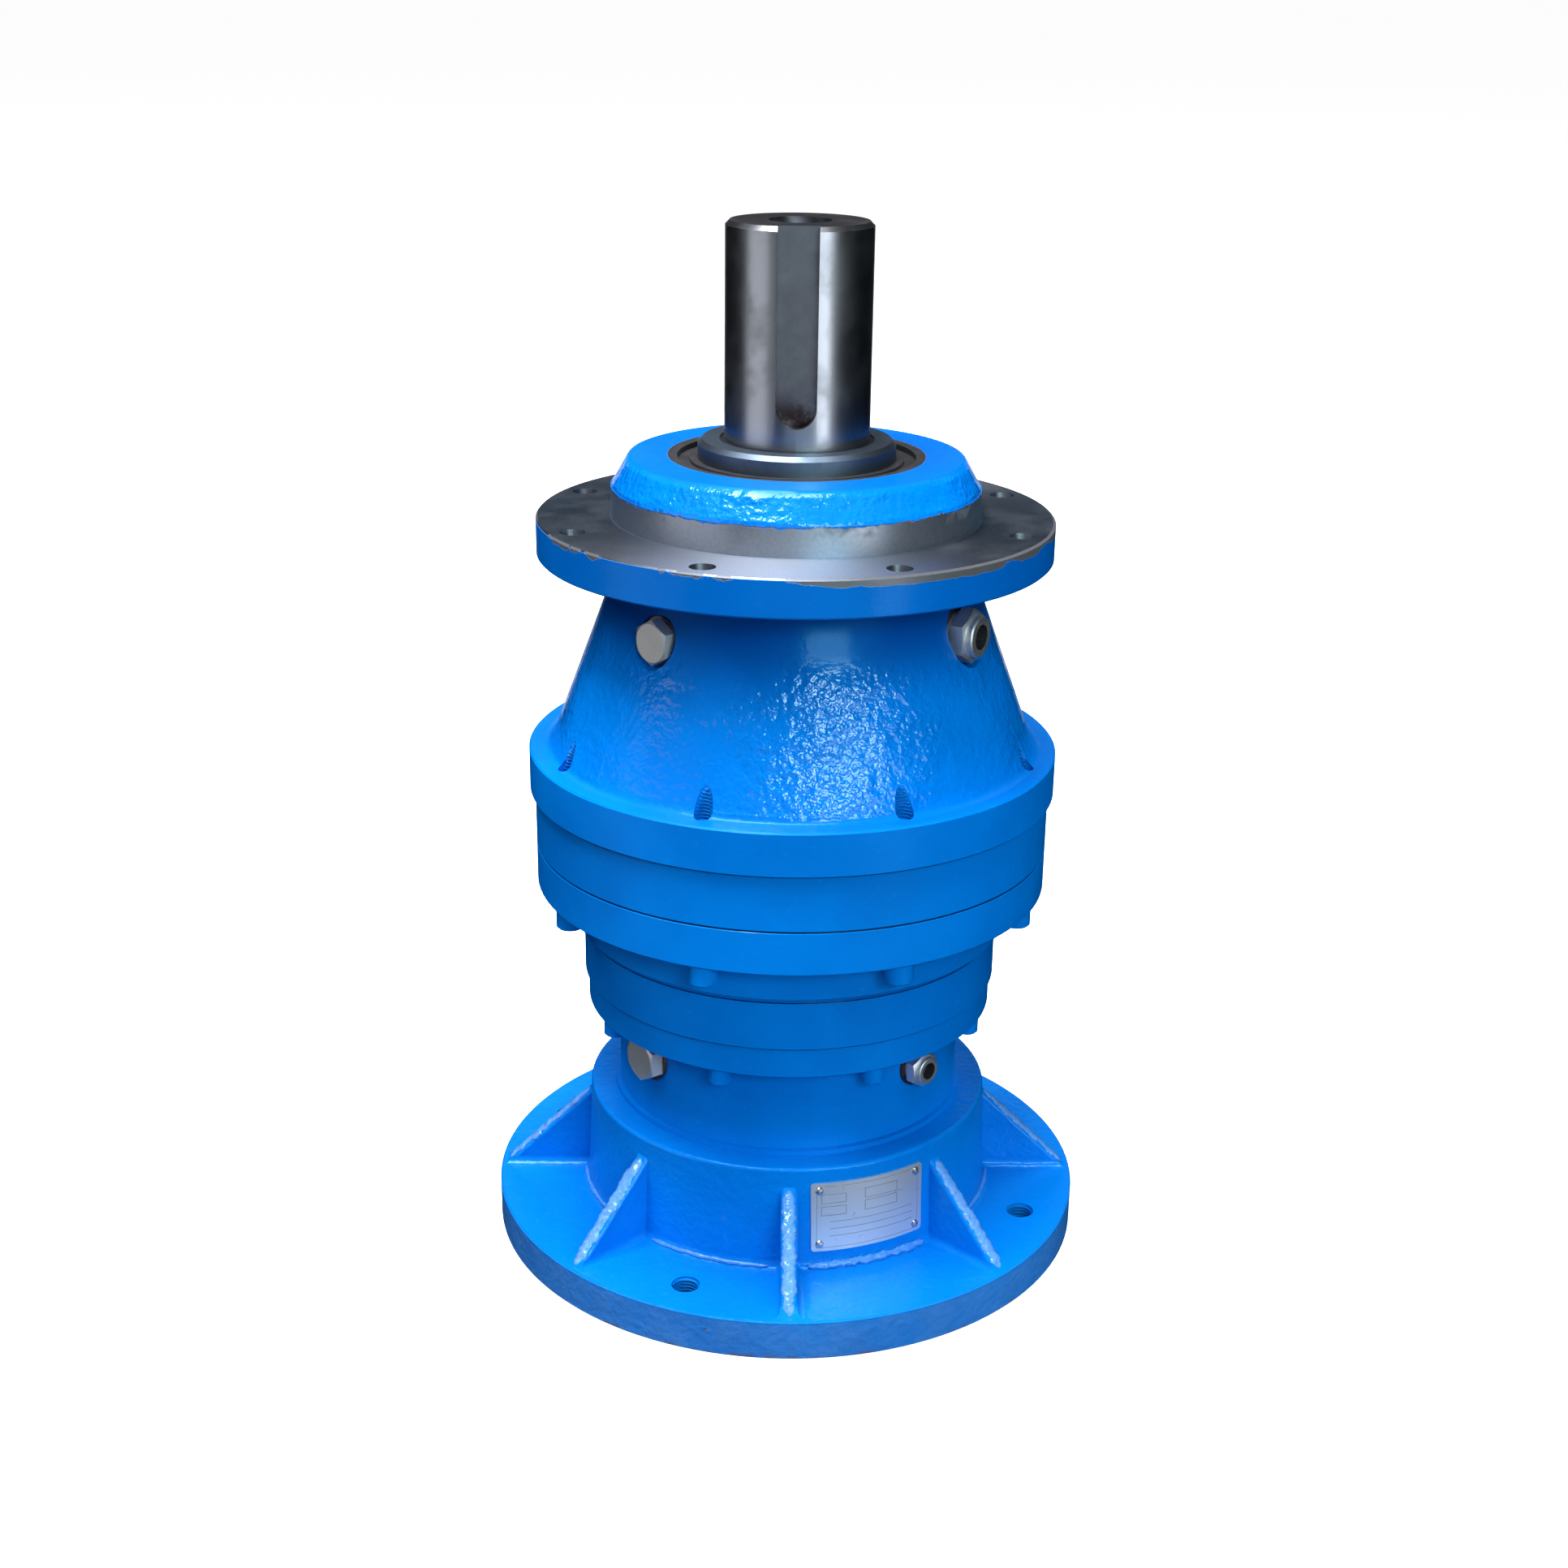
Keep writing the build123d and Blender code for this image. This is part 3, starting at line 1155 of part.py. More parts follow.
def parts():
    pieces = {
        "motor_adapter": motor_adapter(),
        "input_housing": input_housing(),
        "ring_gear_1": ring_gear_1(),
        "intermediate_flange": intermediate_flange(),
        "ring_gear_2": ring_gear_2(),
        "output_housing": output_housing(),
        "casing_o_rings": casing_o_rings(),
        "hex_plugs": hex_plugs(),
        "vent_plugs": vent_plugs(),
        "plug_washers": plug_washers(),
        "stage_1_bolts": stage_1_bolts(),
        "stage_2_bolts": stage_2_bolts(),
        "adapter_screws": adapter_screws(),
        "nameplate": nameplate(),
        "nameplate_rivets": nameplate_rivets(),
        "carrier_bush": carrier_bush(),
        "output_seal": lip_seal(sleeve_r, upper_cup_r, z_seal, seal_t),
        "input_seal": lip_seal(input_land_r, input_seal_r, z_input_seal, input_seal_t),
        "output_shaft": output_shaft(),
        "seal_sleeve": seal_sleeve(),
        "lock_nut": lock_nut(),
        "lock_washer": lock_washer(),
        "carrier_plate_2": cover_plate(carrier_2_r, sun_tip_2 + 2 * column_gap, centre_2, pin_2_r,
                                       z_plate_2_top),
        "carrier_screws_2": carrier_screws(centre_2, z_plate_2_top),
        "planet_pins_2": planet_pins(centre_2, pin_2_r, z_plate_2_top - cover_plate_t + pin_rest,
                                     z_shaft_hub - pin_stop_2),
        "thrust_washers_2": thrust_washers(centre_2, pin_2_r, washer_2_t, z_plate_2_top, z_carrier_2),
        "carrier_1": carrier_1(),
        "carrier_plate_1": cover_plate(carrier_1_r, sun_tip_1 + 2 * column_gap, centre_1, pin_1_r,
                                       z_plate_1_top),
        "carrier_screws_1": carrier_screws(centre_1, z_plate_1_top),
        "planet_pins_1": planet_pins(centre_1, pin_1_r, z_plate_1_top - cover_plate_t + pin_rest,
                                     z_carrier_1_top - pin_stop_1),
        "thrust_washers_1": thrust_washers(centre_1, pin_1_r, washer_1_t, z_plate_1_top, z_carrier_1),
        "sun_gear_2": sun_gear_2(),
        "sun_circlip": sun_circlip(),
        "input_shaft": input_shaft(),
        "input_circlip": input_circlip(),
    }
    upper = tapered_bearing(upper_bore_r, upper_cup_r - seat_gap, upper_cone_w, upper_cup_w,
                            upper_roller_r, upper_roller_length)
    lower = tapered_bearing(lower_bore_r, lower_cup_r - seat_gap, lower_cone_w, lower_cup_w,
                            lower_roller_r, lower_roller_length)
    kinds = ("outer_ring", "inner_ring", "rollers", "cage")
    for kind, piece in zip(kinds, upper):
        pieces["upper_bearing_" + kind] = Pos(0, 0, z_upper_bearing) * piece
    for kind, piece in zip(kinds, lower):
        pieces["lower_bearing_" + kind] = Pos(0, 0, z_lower_bearing_top) * (Rot(180, 0, 0) * piece)
    inner, outer, balls, cage = ball_bearing(input_seat_r, input_bearing_r - seat_gap, input_bearing_w,
                                             z_input_bearing)
    pieces["input_bearing_inner_ring"] = inner
    pieces["input_bearing_outer_ring"] = outer
    pieces["input_bearing_balls"] = balls
    pieces["input_bearing_cage"] = cage
    stage_1 = planet_set(planet_teeth_1, sun_teeth_1, module_1, centre_1, pin_1_r,
                         z_ring_1 + 2 * end_play, z_neck - 2 * end_play)
    stage_2 = planet_set(planet_teeth_2, sun_teeth_2, module_2, centre_2, pin_2_r,
                         z_ring_2 + 2 * end_play, z_housing - 2 * end_play)
    for number, stage in ((1, stage_1), (2, stage_2)):
        for k, (wheel, bush) in enumerate(stage, start=1):
            pieces[f"planet_gear_{number}_{k}"] = wheel
            pieces[f"planet_bush_{number}_{k}"] = bush
    return pieces


os.makedirs("parts", exist_ok=True)
for name, piece in parts().items():
    export_step(piece, f"parts/{name}.step")
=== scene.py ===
import json
from math import cos, hypot, pi, radians, sin

import bmesh
import bpy
from mathutils import Matrix, Vector, noise


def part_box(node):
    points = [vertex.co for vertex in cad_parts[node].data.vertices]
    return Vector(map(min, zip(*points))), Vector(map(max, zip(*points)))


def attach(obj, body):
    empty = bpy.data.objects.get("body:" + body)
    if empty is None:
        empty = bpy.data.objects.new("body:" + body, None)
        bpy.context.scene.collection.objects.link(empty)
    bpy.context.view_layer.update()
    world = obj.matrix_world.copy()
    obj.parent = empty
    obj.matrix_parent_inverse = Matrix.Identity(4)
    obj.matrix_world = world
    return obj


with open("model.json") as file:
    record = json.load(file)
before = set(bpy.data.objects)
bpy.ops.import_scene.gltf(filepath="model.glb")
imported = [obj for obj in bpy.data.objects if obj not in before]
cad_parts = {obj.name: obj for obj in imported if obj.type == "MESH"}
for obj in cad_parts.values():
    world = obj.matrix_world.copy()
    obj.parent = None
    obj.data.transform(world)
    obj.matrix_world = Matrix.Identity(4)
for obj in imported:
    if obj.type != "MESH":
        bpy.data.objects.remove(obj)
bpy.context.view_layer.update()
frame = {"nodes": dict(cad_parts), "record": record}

# Metres. The gearbox stands on z = 0 with its common axis on z, and the camera looks along +y.
# Lengths below are written in millimetres times MM, and turns in degrees from +x.

nodes = frame["nodes"]
MM = 0.001


# Sizes that the frame gives

def height(node, end):
    """The lowest (0) or highest (1) z of a node."""
    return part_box(node)[end].z


Z_HOUSING = height("output_housing", 0)
Z_BOSS_TOP = height("output_housing", 1)
Z_SHAFT_TOP = height("output_shaft", 1)
SEAMS = [height(node, 0) for node in ("ring_gear_1", "ring_gear_2", "output_housing")]
SEAMS.append(height("ring_gear_1", 1))
PLATE_LOW_Z = height("nameplate", 0)
PLATE_HIGH_Z = height("nameplate", 1)
MOTOR_FLANGE_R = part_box("motor_adapter")[1].x

# Sizes that it doesn't give, the same as in the part's source

MOTOR_FLANGE_T = 24 * MM
HUB_FOOT_R = 121 * MM
HUB_TOP_R = 118.5 * MM
RIB_COUNT = 8
RIB_TURN = -90
RIB_T = 9.5 * MM
RIB_RISE = 51 * MM
RIB_END_R = 171.5 * MM
MOTOR_HOLE_CIRCLE_R = 150 * MM
MOTOR_HOLE_R = 8 * MM
MOTOR_HOLE_COUNT = 4
MOTOR_HOLE_TURN = -112.5
Z_CONE = Z_HOUSING + 25 * MM
CONE_H = 111 * MM
CONE_FOOT_R = 138 * MM
CONE_TOP_R = 96.5 * MM
Z_OUTPUT_FLANGE = Z_CONE + CONE_H
Z_OUTPUT_FACE = Z_OUTPUT_FLANGE + 21 * MM
Z_SPIGOT_TOP = Z_OUTPUT_FACE + 16.5 * MM
SPIGOT_R = 102.3 * MM
OUTPUT_FLANGE_R = 143.7 * MM
SEAL_SEAT_R = 71 * MM
BOLT_CIRCLE_R = 137 * MM
BOLT_HOLE_R = 5 * MM
BOLT_COUNT = 8
BOLT_TURN = -110.5
BOLT_END_SINK = 2.5 * MM
SHAFT_R = 40 * MM
KEYWAY_R = 33 * MM
Z_KEYWAY = Z_SHAFT_TOP - 104.4 * MM
SHAFT_HOLE_R = 12 * MM
SHAFT_HOLE_DEPTH = 50 * MM
SHAFT_RECESS_DEPTH = 6 * MM
UPPER_VENT_TURN = -32
UPPER_VENT_Z = 379.5 * MM
UPPER_VENT_BORE_R = 6.9 * MM
LOWER_VENT_TURN = -45
LOWER_VENT_Z = 127.5 * MM
LOWER_VENT_BORE_R = 4.85 * MM
PLATE_TURN = -67.4
PLATE_W = 69 * MM


# Node-tree helpers

RING_SCALE = 1400.0
RING_ROUGH = 0.7
ACROSS_THE_RINGS = 0.25  # of a turn


class Tree:
    """A short way to write a material's nodes."""

    def __init__(self, name):
        self.material = bpy.data.materials.new(name)
        self.material.use_nodes = True
        self.nodes = self.material.node_tree.nodes
        self.links = self.material.node_tree.links
        self.shader = self.nodes["Principled BSDF"]
        self.place = self.nodes.new("ShaderNodeTexCoord").outputs["Object"]

    def put(self, value, socket):
        if isinstance(value, bpy.types.NodeSocket):
            self.links.new(value, socket)
        elif isinstance(value, (tuple, list)) and len(value) == 3 and socket.type == "RGBA":
            socket.default_value = (*value, 1)
        else:
            socket.default_value = value

    def math(self, how, a, b=0.0, c=0.0):
        node = self.nodes.new("ShaderNodeMath")
        node.operation = how
        for value, socket in zip((a, b, c), node.inputs):
            self.put(value, socket)
        return node.outputs[0]

    def times(self, *values):
        """The product of shares from 0 to 1, which is where all of them hold."""
        product = values[0]
        for value in values[1:]:
            product = self.math("MULTIPLY", product, value)
        return product

    def either(self, *values):
        """The largest of some shares, which is where any of them holds."""
        largest = values[0]
        for value in values[1:]:
            largest = self.math("MAXIMUM", largest, value)
        return largest

    def without(self, value):
        return self.math("SUBTRACT", 1.0, value)

    def mix(self, share, a, b):
        """One colour over another. The node keeps its colours in sockets 6 and 7, numbers in 2 and 3."""
        node = self.nodes.new("ShaderNodeMix")
        node.data_type = "RGBA"
        self.put(share, node.inputs["Factor"])
        self.put(a, node.inputs[6])
        self.put(b, node.inputs[7])
        return node.outputs[2]

    def mix_number(self, share, a, b):
        node = self.nodes.new("ShaderNodeMix")
        self.put(share, node.inputs["Factor"])
        self.put(a, node.inputs[2])
        self.put(b, node.inputs[3])
        return node.outputs[0]

    def scaled(self, scale):
        """The object's own coordinates times a vector."""
        node = self.nodes.new("ShaderNodeMapping")
        self.put(self.place, node.inputs["Vector"])
        node.inputs["Scale"].default_value = scale
        return node.outputs[0]

    def noise(self, scale, detail=3.0, rough=0.5, place=None, distortion=0.0):
        node = self.nodes.new("ShaderNodeTexNoise")
        self.put(place or self.place, node.inputs["Vector"])
        node.inputs["Scale"].default_value = scale
        node.inputs["Detail"].default_value = detail
        node.inputs["Roughness"].default_value = rough
        node.inputs["Distortion"].default_value = distortion
        return node.outputs["Fac"]

    def ramp(self, value, low, high):
        """0 below low, 1 above high and smooth between."""
        node = self.nodes.new("ShaderNodeMapRange")
        node.interpolation_type = "SMOOTHSTEP"
        self.put(value, node.inputs["Value"])
        node.inputs["From Min"].default_value = low
        node.inputs["From Max"].default_value = high
        return node.outputs[0]

    def between(self, value, low, high, soft):
        """1 where a value lies between two limits."""
        return self.times(self.ramp(value, low - soft, low + soft),
                          self.without(self.ramp(value, high - soft, high + soft)))

    def spread(self, value, low, high):
        """A value from 0 to 1 spread between low and high."""
        return self.math("MULTIPLY_ADD", value, high - low, low)

    def axis(self, which):
        node = self.nodes.new("ShaderNodeSeparateXYZ")
        self.put(self.place, node.inputs[0])
        return node.outputs[which]

    def length(self, a, b):
        """The length of a vector with two parts."""
        square = self.math("ADD", self.math("MULTIPLY", a, a), self.math("MULTIPLY", b, b))
        return self.math("SQRT", square)

    def from_axis(self):
        """The distance from the common axis."""
        return self.length(self.axis("X"), self.axis("Y"))

    def side_rings(self):
        """The fine rings that a lathe leaves along z on a turned side."""
        return self.noise(RING_SCALE, 2.0, RING_ROUGH, self.scaled((0, 0, 1)))

    def face_rings(self):
        """The same outward on a turned face."""
        node = self.nodes.new("ShaderNodeCombineXYZ")
        self.put(self.from_axis(), node.inputs[0])
        return self.noise(RING_SCALE, 2.0, RING_ROUGH, node.outputs[0])

    def bump(self, layers):
        """Bumps from (height value, distance in metres) layers, one on the other."""
        normal = None
        for value, distance in layers:
            node = self.nodes.new("ShaderNodeBump")
            node.inputs["Distance"].default_value = distance
            self.put(value, node.inputs["Height"])
            if normal:
                self.links.new(normal, node.inputs["Normal"])
            normal = node.outputs[0]
        self.links.new(normal, self.shader.inputs["Normal"])
        self.links.new(normal, self.shader.inputs["Coat Normal"])

    def brushed(self, share):
        """Stretch the shine across the lathe's rings, so a turned face is bright only towards a light."""
        along = self.nodes.new("ShaderNodeTangent")
        along.direction_type = "RADIAL"
        along.axis = "Z"
        self.links.new(along.outputs[0], self.shader.inputs["Tangent"])
        self.put(share, self.shader.inputs["Anisotropic"])
        self.put(ACROSS_THE_RINGS, self.shader.inputs["Anisotropic Rotation"])

    def finish(self, **inputs):
        for name, value in inputs.items():
            self.put(value, self.shader.inputs[name.replace("_", " ")])
        return self.material


# Materials

BLUE = (0.0, 0.180, 0.680)
BLUE_DEEP = (0.0, 0.140, 0.560)
BLUE_PALE = (0.004, 0.250, 0.860)
# Painted shade under the output flange and on its rim
PAINTED_SHADE_BLUE = (0.0, 0.045, 0.260)
# Painted shade for the paint deep in holes
HOLE_PAINTED_SHADE_BLUE = (0.0, 0.15, 0.56)
HOLE_PAINTED_SHADE_DARK = (0.0, 0.06, 0.26)
GLOSS_TINT = (0.05, 0.55, 1.0)
BARE_STEEL = (0.25, 0.27, 0.32)
BARE_STEEL_LIGHT = (0.38, 0.41, 0.48)
SHAFT_STEEL = (0.30, 0.315, 0.35)
SLEEVE_STEEL = (0.13, 0.17, 0.23)
KEYWAY_STEEL = (0.13, 0.115, 0.14)
SEAM_SHADE = (0.0, 0.018, 0.075)
# Painted shade inside the vents' bores
BORE_PAINTED_SHADE = (0.02, 0.02, 0.025)
INK = (0.05, 0.055, 0.07)
# Dusty grey-blue, used for a film on the motor flange's rim and for painted highlights on the beads
DUST_AND_SHEEN_GREY = (0.42, 0.55, 0.66)
RUST = (0.10, 0.055, 0.035)
RUST_DARK = (0.05, 0.03, 0.03)
OXIDE = (0.070, 0.062, 0.062)
PLATE_STAIN = (0.30, 0.24, 0.20)
PLATE_GREY = (0.56, 0.58, 0.62)
PLATE_LIGHT = (0.76, 0.78, 0.82)
GEAR_STEEL = (0.34, 0.34, 0.36)
BEARING_STEEL = (0.60, 0.60, 0.62)
CAGE_STEEL = (0.46, 0.43, 0.38)
BLACK_STEEL = (0.05, 0.05, 0.055)
BRONZE = (0.60, 0.36, 0.13)
# Dull copper, darkened further as painted shade in the plugs' spot faces
COPPER_AND_PAINTED_SHADE = (0.17, 0.12, 0.105)
ZINC = (0.86, 0.85, 0.82)
VENT_ZINC_GREY = (0.60, 0.60, 0.62)
VENT_ZINC_LIGHT = (0.86, 0.86, 0.88)
RIVET_ALUMINIUM = (0.66, 0.66, 0.70)
RUBBER_BLACK = (0.012, 0.012, 0.014)
RUBBER_WORN = (0.03, 0.03, 0.034)


def cast_lumps(tree):
    """The low hills and the fine pits of a sand casting under paint."""
    hills = tree.noise(90.0, 2.0, 0.5, distortion=0.3)
    grains = tree.noise(230.0, 2.0, 0.5)
    return tree.math("ADD", tree.times(hills, 0.5), tree.times(grains, 0.5))


def seams(tree):
    """The dark lines between the stacked casings."""
    z = tree.axis("Z")
    half_gap = 0.45 * MM
    soft = 0.2 * MM
    return tree.either(*[tree.between(z, seam - half_gap, seam + half_gap, soft) for seam in SEAMS])


def bare_steel(tree, rust):
    """The colour of turned steel under thin rust."""
    steel = tree.mix(tree.noise(500.0, 3.0, 0.6), BARE_STEEL, BARE_STEEL_LIGHT)
    return tree.mix(rust, steel, OXIDE)


def enamel(name, cast_bump, coat, painted_highlight=0.0, painted_shade_where=None, cast_where=None, chips_where=None,
           bare_where=None):
    """Glossy blue enamel over a casting. Each where is a function of the tree that gives shares."""
    tree = Tree(name)
    cloud = tree.noise(9.0, 3.0, 0.55)
    fine = tree.noise(240.0, 3.0, 0.6)
    colour = tree.mix(tree.ramp(cloud, 0.35, 0.7), BLUE_DEEP, BLUE)
    colour = tree.mix(tree.times(tree.ramp(fine, 0.58, 0.78), 0.30), colour, BLUE_PALE)
    # Painted highlight: paler grey-blue flecks where a bead's lumps catch the top light.
    if painted_highlight:
        colour = tree.mix(tree.spread(tree.noise(420.0, 2.0, 0.6), 0.0, painted_highlight), colour, DUST_AND_SHEEN_GREY)
    rough = tree.spread(tree.noise(40.0, 3.0, 0.6), 0.32, 0.46)
    metallic = 0.0
    lumps = cast_lumps(tree)
    paint_grain = (tree.noise(520.0, 2.0, 0.5), 0.05 * MM)
    on_steel = []
    # Painted shade: darker blue wherever the function says shade falls.
    if painted_shade_where:
        colour = tree.mix(painted_shade_where(tree), colour, PAINTED_SHADE_BLUE)
    if cast_where:
        cast = cast_where(tree)
        lumps = tree.times(lumps, cast)
        coat = tree.times(cast, coat)
    colour = tree.mix(seams(tree), colour, SEAM_SHADE)
    if chips_where:
        # Rust chips, and a dusty grey that is partly a painted sheen.
        chips, dust_and_sheen = chips_where(tree)
        colour = tree.mix(chips, tree.mix(dust_and_sheen, colour, DUST_AND_SHEEN_GREY), RUST)
    if bare_where:
        bare, rust = bare_where(tree)
        painted = tree.without(bare)
        rings = tree.face_rings()
        colour = tree.mix(bare, colour, bare_steel(tree, rust))
        metallic = tree.times(bare, tree.without(tree.times(rust, 0.8)))
        rough = tree.mix_number(bare, rough, tree.spread(rings, 0.34, 0.50))
        lumps = tree.times(lumps, painted)
        on_steel = [(painted, 0.20 * MM), (tree.times(rings, bare), 0.12 * MM)]
        tree.brushed(0.62)
    tree.bump([(lumps, cast_bump), paint_grain, *on_steel])
    return tree.finish(Base_Color=colour, Roughness=rough, Metallic=metallic, Specular_IOR_Level=0.45,
                       Specular_Tint=GLOSS_TINT, Coat_Weight=coat, Coat_Roughness=0.10)


def hole_painted_shade_enamel(name):
    """Painted shade deep in a hole: a darker blue paint for the threads."""
    tree = Tree(name)
    shade = tree.mix(tree.noise(300.0), HOLE_PAINTED_SHADE_DARK, HOLE_PAINTED_SHADE_BLUE)
    tree.bump([(tree.noise(700.0, 2.0, 0.5), 0.05 * MM)])
    return tree.finish(Base_Color=shade, Roughness=tree.spread(tree.noise(120.0), 0.4, 0.6),
                       Specular_Tint=GLOSS_TINT)


def housing_painted_shade(tree):
    """Painted shade: darker paint up the cone's neck under the flange, on the flange's rim, and a little
    of it on the boss's top.
    """
    z = tree.axis("Z")
    under_flange = tree.without(tree.ramp(z, Z_OUTPUT_FLANGE - 1 * MM, Z_OUTPUT_FLANGE))
    neck = tree.times(tree.ramp(z, Z_CONE + 44 * MM, Z_CONE + 94 * MM),
                      tree.spread(under_flange, 0.45, 0.92),
                      tree.without(tree.ramp(z, Z_OUTPUT_FACE, Z_SPIGOT_TOP)))
    crown = tree.times(tree.ramp(z, Z_BOSS_TOP - 2 * MM, Z_BOSS_TOP), 0.4)
    return tree.either(neck, crown)


def housing_cast(tree):
    """Cast skin on the cone and the boss's side. What lies beside them was turned before the paint."""
    z = tree.axis("Z")
    margin = 2 * MM
    cone = tree.times(tree.ramp(z, Z_CONE, Z_CONE + 2 * margin),
                      tree.without(tree.ramp(z, Z_CONE + 62 * MM, Z_CONE + 84 * MM)))
    boss = tree.between(z, Z_SPIGOT_TOP, Z_BOSS_TOP - margin, margin)
    patches = tree.spread(tree.ramp(tree.noise(14.0, 2.0, 0.5), 0.38, 0.6), 0.35, 1.0)
    return tree.spread(tree.times(tree.either(cone, boss), patches), 0.05, 1.0)


def housing_bare(tree):
    """Where the output housing's steel is bare, and where that steel has rust or a dull film."""
    r = tree.from_axis()
    z = tree.axis("Z")
    ragged = tree.spread(tree.noise(95.0, 5.0, 0.7), -3.2 * MM, 3.2 * MM)
    below_boss_paint = tree.without(tree.ramp(tree.math("ADD", z, ragged), Z_SPIGOT_TOP - 1.2 * MM,
                                              Z_SPIGOT_TOP - 0.4 * MM))
    above_face = tree.ramp(z, Z_OUTPUT_FACE - 0.9 * MM, Z_OUTPUT_FACE - 0.7 * MM)
    outside = tree.ramp(r, SPIGOT_R - 1.0 * MM, SPIGOT_R - 0.8 * MM)
    face_and_spigot = tree.times(above_face, below_boss_paint, outside)
    seal_seat = tree.without(tree.ramp(r, SEAL_SEAT_R - 0.4 * MM, SEAL_SEAT_R + 0.4 * MM))
    bolt_holes = tree.times(tree.ramp(z, Z_OUTPUT_FLANGE + 0.3 * MM, Z_OUTPUT_FLANGE + 0.5 * MM),
                            below_boss_paint, tree.ramp(r, SPIGOT_R + 1 * MM, SPIGOT_R + 2 * MM),
                            tree.without(tree.ramp(r, OUTPUT_FLANGE_R - 4 * MM, OUTPUT_FLANGE_R - 3 * MM)))

    # Chips along the rim's upper edge, more of them towards +x
    rim = tree.times(tree.ramp(r, OUTPUT_FLANGE_R - 2 * MM, OUTPUT_FLANGE_R - 1 * MM),
                     tree.ramp(z, Z_OUTPUT_FACE - 11 * MM, Z_OUTPUT_FACE - 0.5 * MM))
    worn = tree.times(tree.ramp(tree.axis("X"), -20 * MM, 20 * MM),
                      tree.ramp(tree.noise(13.0, 2.0, 0.5), 0.40, 0.58))
    wear = tree.math("ADD", tree.noise(30.0, 5.0, 0.72), tree.times(worn, 0.30))
    chips = tree.ramp(tree.times(rim, wear), 0.49, 0.52)

    # Stains on the spigot below the paint, a dull spigot wall, and a faint film all over
    below_paint = tree.between(z, Z_SPIGOT_TOP - 6 * MM, Z_SPIGOT_TOP + 2 * MM, 3 * MM)
    stain = tree.times(below_paint, tree.ramp(tree.noise(22.0, 4.0, 0.65), 0.52, 0.66), 0.8)
    wall = tree.times(tree.without(tree.ramp(r, SPIGOT_R + 0.3 * MM, SPIGOT_R + 1.5 * MM)), 0.12)
    film = tree.times(tree.ramp(tree.noise(24.0, 4.0, 0.6), 0.42, 0.7), 0.07)
    bare = tree.either(face_and_spigot, seal_seat, chips, bolt_holes)
    return bare, tree.either(stain, film, wall, tree.times(chips, 0.75))


def adapter_chips(tree):
    """Small rust spots, mostly on the flange's rim, and a dusty grey film on that rim which is partly a
    painted sheen.
    """
    z = tree.axis("Z")
    side = tree.ramp(tree.from_axis(), MOTOR_FLANGE_R - 1.5 * MM, MOTOR_FLANGE_R - 0.5 * MM)
    rim = tree.times(side, tree.without(tree.ramp(z, MOTOR_FLANGE_T - 3 * MM, MOTOR_FLANGE_T)))
    spots = tree.ramp(tree.noise(85.0, 5.0, 0.7), 0.66, 0.71)
    lower_edge = tree.without(tree.ramp(z, 1 * MM, 4 * MM))
    worn = tree.times(lower_edge, tree.ramp(tree.noise(60.0, 4.0, 0.7), 0.52, 0.6), 0.6)
    # Dusty grey on the rim: partly a film of grime, partly a painted reflection of the white floor.
    dust_and_sheen = tree.times(rim, tree.spread(tree.noise(45.0, 4.0, 0.65), 0.0, 0.16))
    return tree.either(tree.times(spots, tree.spread(rim, 0.25, 0.8)), worn), dust_and_sheen


def worn_keyway(tree, shade):
    """A dull mottled keyway with rust at its low end."""
    deep = tree.without(tree.ramp(tree.from_axis(), KEYWAY_R, SHAFT_R - 1 * MM))
    mottled = tree.times(deep, tree.spread(tree.noise(60.0, 4.0, 0.65), 0.1, 0.9))
    shade = tree.mix(mottled, shade, KEYWAY_STEEL)
    low_end = tree.without(tree.ramp(tree.axis("Z"), Z_KEYWAY + 4 * MM, Z_KEYWAY + 24 * MM))
    patch = tree.times(deep, low_end, tree.ramp(tree.noise(70.0, 4.0, 0.6), 0.35, 0.6))
    return tree.mix(patch, shade, RUST_DARK)


def turned_steel(name, colour, roughness, keyway=False):
    """Machined steel with lathe rings and faint stains. Its roughness is the lowest and the highest."""
    tree = Tree(name)
    rings = tree.side_rings()
    stains = tree.ramp(tree.noise(30.0, 4.0, 0.62), 0.46, 0.72)
    dark = tuple(0.55 * c for c in colour)
    shade = tree.mix(tree.times(stains, 0.45), colour, dark)
    if keyway:
        shade = worn_keyway(tree, shade)
    rough = tree.math("ADD", tree.spread(rings, *roughness), tree.times(stains, 0.10))
    tree.bump([(rings, 0.02 * MM)])
    return tree.finish(Base_Color=shade, Metallic=1.0, Roughness=rough)


def plain_metal(name, colour, roughness, grain=900.0):
    """Clouded metal with a fine grain. Its roughness is the lowest and the highest."""
    tree = Tree(name)
    speck = tree.noise(grain, 2.0, 0.6)
    dark = tuple(0.75 * c for c in colour)
    shade = tree.mix(tree.noise(45.0, 3.0, 0.6), dark, colour)
    tree.bump([(speck, 0.02 * MM)])
    return tree.finish(Base_Color=shade, Metallic=1.0, Roughness=tree.spread(speck, *roughness))


def inside_bore(tree, turn, z, bore_r):
    """Within a level bore that points outwards from the common axis."""
    aside = tree.math("SUBTRACT", tree.math("MULTIPLY", tree.axis("Y"), cos(radians(turn))),
                      tree.math("MULTIPLY", tree.axis("X"), sin(radians(turn))))
    rise = tree.math("SUBTRACT", tree.axis("Z"), z)
    return tree.without(tree.ramp(tree.length(aside, rise), bore_r + 0.1 * MM, bore_r + 0.4 * MM))


